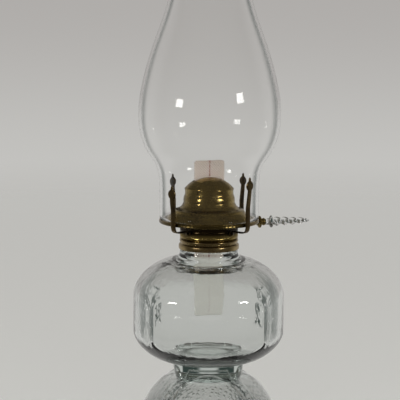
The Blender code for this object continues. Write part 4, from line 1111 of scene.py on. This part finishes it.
@dataclass
class Prongs:
    """Four sprung strips that grip the chimney, each with a spade bulb and a small pointed finial."""

    first_angle: float = BURNER_TURN + math.radians(32)
    heights: tuple[float, ...] = (40.4 * MM, 39.6 * MM, 36.2 * MM, 42.6 * MM)
    leg_level: float = 190.3 * MM
    tab_place: float = 23.15 * MM
    upright_place: float = 39.45 * MM
    thickness: float = 0.9 * MM
    half_width: float = 2.4 * MM
    bulb_half_width: float = 3.9 * MM
    tab_height: float = 3.2 * MM
    rivet_drop: float = 2.1 * MM
    rivet_head: float = 1.3 * MM

    def angle(self, number: int) -> float:
        """The way round to a prong."""
        return self.first_angle + (number - 1) * math.pi / 2

    def tip_place(self, number: int) -> float:
        """How far out a prong's tip stands, taken from its CAD strip's box."""
        low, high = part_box(f"prong_{number}")
        corner = max(abs(low[0]), abs(high[0])) / abs(math.cos(self.angle(number)))
        return max(self.upright_place + 0.2 * MM, min(corner - 3.4 * MM, self.upright_place + 1.6 * MM))

    def strip(self, number: int, height: float) -> Shell:
        """Carry a superellipse section along the strip's path.

        The path runs down the tab, out along the leg, up the upright and into the tip. A section's corner is
        at half the width times the cosine to the power 0.4, and half the thickness times the sine to the power
        0.6, each with its sign, so that the strip has rounded edges.

        Args:
            number: The prong's number, from 1.
            height: From the leg to the tip.

        Returns:
            The strip, standing in its own place about the axis.
        """
        up, tip, half, bulb = self.upright_place, self.tip_place(number), self.half_width, self.bulb_half_width
        tab, thin = self.tab_place, self.thickness / 2
        stations = [(tab, -self.tab_height - 0.6 * MM, half, thin)]
        leg = off((tab, 0), (0, -0.9), (0.3, -0.25), (0.9, 0))
        leg += off((up, 0), (-4.5, 0), (-2.3, 0.5), (-0.7, 2.0), (0, 4.6))
        stations += [(place, level, half, thin) for place, level in leg + [(up, 0.45 * height)]]
        stations += [(tip - 0.2 * MM, height - 12 * MM, 0.9 * half, thin),
                     (tip, height - 9.8 * MM, 0.86 * half, thin)]
        stations += [(tip, height - drop * MM, wide * bulb, thick * thin) for drop, wide, thick in (
            (8.8, 0.8, 1.1), (7.4, 0.97, 1.15), (6.2, 1, 1.15), (4.9, 0.9, 1.1), (3.7, 0.62, 1), (2.7, 0.27, 1),
            (2.0, 0.3, 1), (1.2, 0.27, 1), (0.5, 0.14, 0.8), (0, 0.05, 0.5))]
        stations = np.array(stations)
        steps = np.concatenate([[0], np.cumsum(np.linalg.norm(np.diff(stations[:, :2], axis=0), axis=1))])
        wanted = np.unique(np.concatenate([np.linspace(0, steps[-1], 150), steps]))
        columns = np.stack([np.interp(wanted, steps, stations[:, k]) for k in range(4)], axis=-1)
        kernel = np.array([1, 4, 6, 4, 1]) / 16
        padded = np.pad(columns, ((2, 2), (0, 0)), mode="edge")
        columns = sum(kernel[k] * padded[k:k + len(columns)] for k in range(5))
        path, width, thick = columns[:, :2], columns[:, 2], columns[:, 3]
        outward = sides(path)
        turn = around(20)
        cosine = np.sign(np.cos(turn)) * np.abs(np.cos(turn)) ** 0.4
        sine = np.sign(np.sin(turn)) * np.abs(np.sin(turn)) ** 0.6
        across = width[:, None] * cosine[None, :]
        depth = thick[:, None] * sine[None, :]
        x = path[:, :1] + outward[:, :1] * depth
        z = path[:, 1:] + outward[:, 1:] * depth + self.leg_level
        grid = np.stack([x, across, z], axis=-1)
        first = (path[0, 0], 0, path[0, 1] + self.leg_level)
        last = (path[-1, 0], 0, path[-1, 1] + self.leg_level)
        return surface(grid, first=first, last=last).turned(self.angle(number))

    def rivet(self, number: int) -> Shell:
        """A dome-headed rivet turned about its own line through the tab."""
        outside, inside = self.tab_place + self.thickness / 2 + GAP, Burner.basket_radius - Burner.sheet - GAP
        head = self.rivet_head
        points = [(0.02 * MM, outside + 0.85 * MM), (0.5 * head, outside + 0.75 * MM),
                  (0.9 * head, outside + 0.4 * MM), (head, outside), (0.8 * MM, outside),
                  (0.8 * MM, inside), (head - 0.3 * MM, inside),
                  (head - 0.4 * MM, inside - 0.4 * MM), (0.02 * MM, inside - 0.5 * MM)]
        outline = eased(points, 0.2 * MM)
        grid = revolve(outline[:, 0], outline[:, 1], around(24))
        level = self.leg_level - self.rivet_drop
        laid = np.stack([grid[..., 2], grid[..., 0], grid[..., 1] + level], axis=-1)
        shell = surface(laid, first=(outline[0, 1], 0, level), last=(outline[-1, 1], 0, level))
        return shell.turned(self.angle(number))

    def build(self, palette: Palette) -> None:
        """Make the four prongs and their rivets."""
        for number, height in enumerate(self.heights, start=1):
            make_piece(f"spring_{number}", self.strip(number, height),
                       palette.dress(Finish.SPRING_BRASS, f"prong_{number}", f"prong_{number}"))
            make_piece(f"rivet_{number}", self.rivet(number),
                       palette.dress(Finish.ANTIQUE_BRASS, "burner", f"prong_rivet_{number}"))


@dataclass
class Winder:
    """Shaft, milled ferrule and twisted crystal drop that raise the wick."""

    shaft_level: float = 193.1 * MM
    shaft_offset: float = 5.55 * MM
    shaft_radius: float = 1.1 * MM
    ferrule_start: float = 39.3 * MM
    ferrule_length: float = 7.5 * MM
    disc_radius: float = 4.7 * MM
    disc_teeth: int = 30
    crystal_start: float = 47.1 * MM
    crystal_length: float = 35.8 * MM
    flange_radius: float = 5.0 * MM
    drop_radius: float = 2.8 * MM
    lobes: int = 2
    twist_pitch: float = 13 * MM

    def laid(self, shell: Shell) -> Shell:
        """Lay a shell made about Z along the shaft: its height runs along the shaft, from the lamp's axis."""
        points = np.stack([shell.points[:, 2], shell.points[:, 0] + self.shaft_offset,
                           shell.points[:, 1] + self.shaft_level], axis=-1)
        return Shell(points, shell.quads, shell.triangles).turned(BURNER_TURN)

    def ferrule(self) -> Shell:
        """Turned socket with a milled disc: the disc's radius swings with the cosine of the tooth count."""
        s = self.ferrule_start
        bore = self.shaft_radius + 0.3 * MM
        end = s + self.ferrule_length
        points = [(bore, s)] + off((0, s), (2.2, 0), (2.9, 1.2), (3.2, 1.9))
        points += off((self.disc_radius, s), (-0.4, 2.2), (0, 2.7), (0, 3.4), (-0.4, 3.9))
        points += off((0, s), (2.5, 4.2), (2.4, 5.2), (3.1, 6.2), (2.7, 7.2))
        points += off((0, end), (2.2, 0), (0.3, 0))
        outline = eased(points, 0.3 * MM)
        angles = around(self.disc_teeth * 6)
        milled = step_between(outline[:, 0], self.disc_radius - 0.5 * MM, self.disc_radius - 0.1 * MM)
        swing = 0.22 * MM * milled[:, None] * (0.5 - 0.5 * np.cos(self.disc_teeth * angles))
        hollow = np.array([(0.3 * MM, s + 4.6 * MM), (bore, s + 4.5 * MM)])
        grid = np.concatenate([revolve(hollow[:, 0], hollow[:, 1], angles),
                               revolve(outline[:, :1] - swing, outline[:, 1], angles)])
        return surface(grid, first=(0, 0, s + 4.6 * MM), last=(0, 0, end))

    def crystal(self) -> Shell:
        """The drop: its radius swells in lobes that turn once in each pitch, fading out at neck and tip."""
        start, end = self.crystal_start, self.crystal_start + self.crystal_length
        points = off((0, start), (2.5, 0), (2.4, 1.5), (2.7, 3.2))
        points += off((self.flange_radius, start), (-0.6, 4.2), (0, 4.8), (-0.6, 5.4))
        points += off((0, start), (2.4, 6.1))
        drop = np.linspace(0, 1, 90)
        drop_z = start + 7.0 * MM + drop * (self.crystal_length - 9.2 * MM)
        drop_r = self.drop_radius * (1 - 0.42 * drop**1.5)
        tip = off((0, end), (0.95, -1.7), (1.05, -1.1), (0.75, -0.4), (0.2, 0))
        head = eased(points, 0.5 * MM)
        foot = eased(tip, 0.3 * MM)
        radii = np.concatenate([head[:, 0], drop_r, foot[:, 0]])
        z = np.concatenate([head[:, 1], drop_z, foot[:, 1]])
        angles = around(96)
        lobed = band(z, (start + 6.2 * MM, start + 8.5 * MM), (end - 3.4 * MM, end - 1.9 * MM))
        phase = self.lobes * (angles[None, :] - math.tau * (z[:, None] - start) / self.twist_pitch)
        swell = 1 + lobed[:, None] * (0.3 * np.cos(phase) - 0.02)
        grid = revolve(radii[:, None] * swell, z, angles)
        return surface(grid, first=(0, 0, start), last=(0, 0, end))

    def build(self, palette: Palette) -> None:
        """Make the ferrule and the crystal, and paint the shaft and its wheels."""
        make_piece("knob_ferrule_milled", self.laid(self.ferrule()),
                   palette.dress(Finish.ANTIQUE_BRASS, "winder", "knob_ferrule"))
        make_piece("knob_crystal_twisted", self.laid(self.crystal()),
                   palette.dress(Finish.CRYSTAL, "winder", "knob_crystal"), 60.0)
        palette.repaint("winder_shaft", Finish.ANTIQUE_BRASS)
        for number in (1, 2, 3):
            palette.repaint(f"spur_wheel_{number}", Finish.WINDER_STEEL)


# ================= wick and chimney =================

@dataclass
class Wick:
    """Flat woven wick that hangs from the burner's tube into the font."""

    width: float = 23.7 * MM
    thickness: float = 2.0 * MM
    bottom: float = 122.5 * MM
    top: float = 243.0 * MM
    bow: float = 1.6 * MM
    bow_level: float = 160.0 * MM
    bow_length: float = 40.0 * MM
    bow_slope: tuple[float, float] = (136.0 * MM, 157.0 * MM)

    def build(self, palette: Palette) -> None:
        """Loft the strip.

        A flat oval section, a superellipse of power eight across and two and a half through, is carried up the
        Z axis.
        Below the burner the strip bows gently by the sine of its height, and its end edges fray by a small sum
        of sines.
        """
        turn = around(96)
        cosine = np.sign(np.cos(turn)) * np.abs(np.cos(turn)) ** 0.25
        sine = np.sign(np.sin(turn)) * np.abs(np.sin(turn)) ** 0.8
        rows = 200
        share = np.linspace(0, 1, rows)[:, None]
        edge_in = 1 - 0.1 * np.exp(-share / 0.002) - 0.1 * np.exp(-(1 - share) / 0.002)
        x = self.width / 2 * cosine[None, :] * edge_in
        fray = 0.25 * MM * (np.sin(x / (0.55 * MM)) + np.sin(x / (0.23 * MM) + 1.3))
        end_share = np.exp(-(1 - share) / 0.012) + np.exp(-share / 0.012)
        z = self.bottom + 0.5 * MM + share * (self.top - self.bottom - 1.0 * MM) + fray * end_share
        hang = 1 - step_between(z, *self.bow_slope)
        y = self.thickness / 2 * sine[None, :] * edge_in * np.ones_like(z)
        y = y + self.bow * hang * np.sin((z - self.bow_level) / self.bow_length * math.pi)
        grid = np.stack(np.broadcast_arrays(x, y, z), axis=-1)
        shell = surface(grid, first=grid[0].mean(axis=0), last=grid[-1].mean(axis=0))
        uv = shell.points[:, [0, 2]].copy()
        wick = make_piece("wick_woven", shell.turned(BURNER_TURN),
                          palette.dress(Finish.COTTON, "wick", "wick"), 70.0, uv)


@dataclass
class Chimney:
    """Blown glass chimney: a short straight fitter, a round bulb and a long taper."""

    columns: int = 192
    bottom: float = 198.1 * MM
    height: float = 254.0 * MM
    wall: float = 2.0 * MM
    least_radius: float = 24.9 * MM
    outline_heights: tuple[float, ...] = (
        0, 12, 24, 31, 36, 41, 45, 49.5, 55, 62, 71, 80, 90, 103, 117, 131, 145, 159, 172, 190, 215, 254)
    outline_radii: tuple[float, ...] = (
        38.1, 38.1, 38.15, 38.5, 39.2, 40.9, 43.2, 46.3, 49.4, 52.0, 53.8, 54.2, 53.7, 51.5, 48.0, 43.6, 38.5,
        33.8, 30.4, 27.6, 25.9, 25.0)

    def build(self, palette: Palette) -> None:
        """Turn the chimney: a cubic spline through the outline, with the wall's thickness taken inwards."""
        knots, radii = np.array(self.outline_heights) * MM, np.array(self.outline_radii) * MM
        z = np.linspace(0, self.height, 200)
        outer = np.stack([spline(knots, radii, z), z + self.bottom], axis=-1)
        outer[:, 0] = np.maximum(outer[:, 0], self.least_radius)
        inner = outer - self.wall * sides(outer)
        inner[0, 1], inner[-1, 1] = outer[0, 1], outer[-1, 1]
        turn = np.linspace(0, math.pi, 9)[1:-1]
        half = self.wall / 2
        top_mid, low_mid = (outer[-1] + inner[-1]) / 2, (outer[0] + inner[0]) / 2
        top = np.stack([top_mid[0] + half * np.cos(turn), top_mid[1] - half + half * np.sin(turn)], axis=-1)
        low = np.stack([low_mid[0] - half * np.cos(turn), low_mid[1] + half - half * np.sin(turn)], axis=-1)
        loop = np.concatenate([outer[2:-2], top, inner[2:-2][::-1], low])
        make_piece("chimney_blown", spun(loop, self.columns),
                   palette.dress(Finish.CHIMNEY_GLASS, "chimney", "chimney"), 60.0)


# ================= studio =================

class LightSide(Enum):
    """The two soft boxes, by the side of the camera they stand on."""

    LEFT = -1
    RIGHT = 1


@dataclass
class Studio:
    """Camera, floor, room and two soft boxes."""

    camera_place: tuple[float, float, float] = (-0.007, -1.022, 0.343)
    camera_pitch: float = math.radians(7.3)
    camera_roll: float = math.radians(0.3)
    lens: float = 121.0
    sensor: float = 36.0
    floor_radius: float = 3.0
    box_distance: float = 1.5
    box_azimuth: float = math.radians(50)
    box_heights: tuple[float, float] = (0.50, 0.62)
    box_size: tuple[float, float] = (0.30, 0.20)
    box_radiance: float = 17.0

    def camera(self) -> None:
        """Place the camera: level, then pitched down, then rolled about its own line of sight."""
        data = bpy.data.cameras.new("camera")
        data.lens, data.sensor_width = self.lens, self.sensor
        made = linked("camera", data)
        pitched = Matrix.Rotation(math.pi / 2 - self.camera_pitch, 4, "X")
        made.matrix_world = Matrix.Translation(self.camera_place) @ (
            pitched @ Matrix.Rotation(self.camera_roll, 4, "Z"))
        bpy.context.scene.camera = made

    def soft_boxes(self) -> None:
        """Two soft boxes that face the lamp."""
        target = Vector((0, 0, 0.2))
        for side, height in zip(LightSide, self.box_heights):
            angle = side.value * self.box_azimuth
            reach = self.box_distance
            place = Vector((reach * math.sin(angle), -reach * math.cos(angle), height))
            data = bpy.data.lights.new(f"soft_box_{side.name.lower()}", "AREA")
            data.shape = "RECTANGLE"
            data.size, data.size_y = self.box_size
            data.energy = self.box_radiance * math.pi * self.box_size[0] * self.box_size[1]
            data.color = (1.0, 0.99, 0.96)
            made = linked(data.name, data)
            made.location = place
            made.rotation_euler = (target - place).to_track_quat("-Z", "Y").to_euler()
            made.visible_camera = False

    def floor(self) -> None:
        """A round floor that fades into the room; glass and metal see the room in its place."""
        rings = np.linspace(0.02, self.floor_radius, 40)
        grid = revolve(rings, np.zeros_like(rings), around(96))
        flat = surface(grid, first=(0, 0, 0))
        mesh = bpy.data.meshes.new("floor")
        mesh.from_pydata(flat.points.tolist(), [], flat.quads.tolist() + flat.triangles.tolist())
        made = linked("floor", mesh)
        made.location.z = -0.05 * MM
        material, graph = new_material("floor_paper")
        split = graph.split(graph.place())
        distance = graph.length(split[0], split[1])
        path = graph.add("ShaderNodeLightPath")
        bounced = graph.plus(path.outputs["Transmission Depth"], path.outputs["Glossy Depth"])
        fade = graph.math("MINIMUM", graph.plus(graph.fit(distance, 0.35, 2.6), bounced), 1.0)
        coat(graph, {"Base Color": (0.84, 0.84, 0.82, 1.0), "Roughness": 0.9}, (1.0, 1.0, 1.0, 1.0), fade)
        mesh.materials.append(material)

    def room(self) -> None:
        """The room: pale where it is seen or lights the lamp, darker at the front where metal mirrors it.

        Through glass, eight dark cards stand round the lamp: they are where the sine of four times the way's
        azimuth is large, so the glass keeps dark outlines from every side. The ceiling is dark too.
        """
        world = bpy.data.worlds.new("room")
        bpy.context.scene.world = world
        world.use_nodes = True
        world.node_tree.nodes.clear()
        graph = Graph(world.node_tree)
        x, y, z = graph.split(graph.add("ShaderNodeTexCoord").outputs["Generated"])
        level = graph.math("MAXIMUM", graph.length(x, y), 0.001)
        sideways = graph.math("DIVIDE", x, level)
        backwards = graph.math("DIVIDE", y, level)
        pale = graph.mix(graph.fit(z, -0.12, 0.03), (0.55, 0.545, 0.525, 1.0), (0.43, 0.415, 0.40, 1.0))
        double_sine = graph.times(graph.times(sideways, backwards), 2.0)
        double_cosine = graph.minus(graph.times(backwards, backwards),
                                   graph.times(sideways, sideways))
        card = graph.math("ABSOLUTE", graph.times(graph.times(double_sine, double_cosine), 2.0))
        high = graph.fit(z, 0.42, 0.66)
        card = graph.times(graph.fit(card, 0.45, 0.78), graph.fit(z, -0.5, -0.3))
        seen = graph.mix(graph.math("MAXIMUM", card, high), pale, (0.035, 0.052, 0.047, 1.0))
        front = graph.math("MAXIMUM", graph.fit(backwards, 0.55, -0.1), graph.fit(z, 0.3, 0.6))
        room = graph.mix(front, pale, (0.115, 0.108, 0.09, 1.0))
        path = graph.add("ShaderNodeLightPath")
        colour = pale
        for depth, met in (("Transmission Depth", seen), ("Glossy Depth", room),
                           ("Diffuse Depth", (0.62, 0.615, 0.60, 1.0))):
            colour = graph.mix(graph.math("MINIMUM", path.outputs[depth], 1.0), colour, met)
        light = graph.add("ShaderNodeBackground", {"Color": colour, "Strength": 1.0})
        out = graph.add("ShaderNodeOutputWorld")
        world.node_tree.links.new(light.outputs[0], out.inputs[0])

    def build(self) -> None:
        """Set the studio up."""
        self.camera()
        self.soft_boxes()
        self.floor()
        self.room()
        scene = bpy.context.scene
        scene.view_settings.view_transform = "Standard"


# ================= the whole scene =================


def main() -> None:
    """Build every sub-assembly in order, then the studio."""
    logging.basicConfig(level=logging.INFO, format="%(name)s: %(message)s")
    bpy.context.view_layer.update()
    wick = Wick()
    palette = Palette(wick.top)
    studio = Studio()
    studio.build()
    for assembly in (GlassStand(), Collar(), Burner(), Cone(), Prongs(), Winder(), wick, Chimney()):
        assembly.build(palette)


if __name__ == "__main__":
    main()
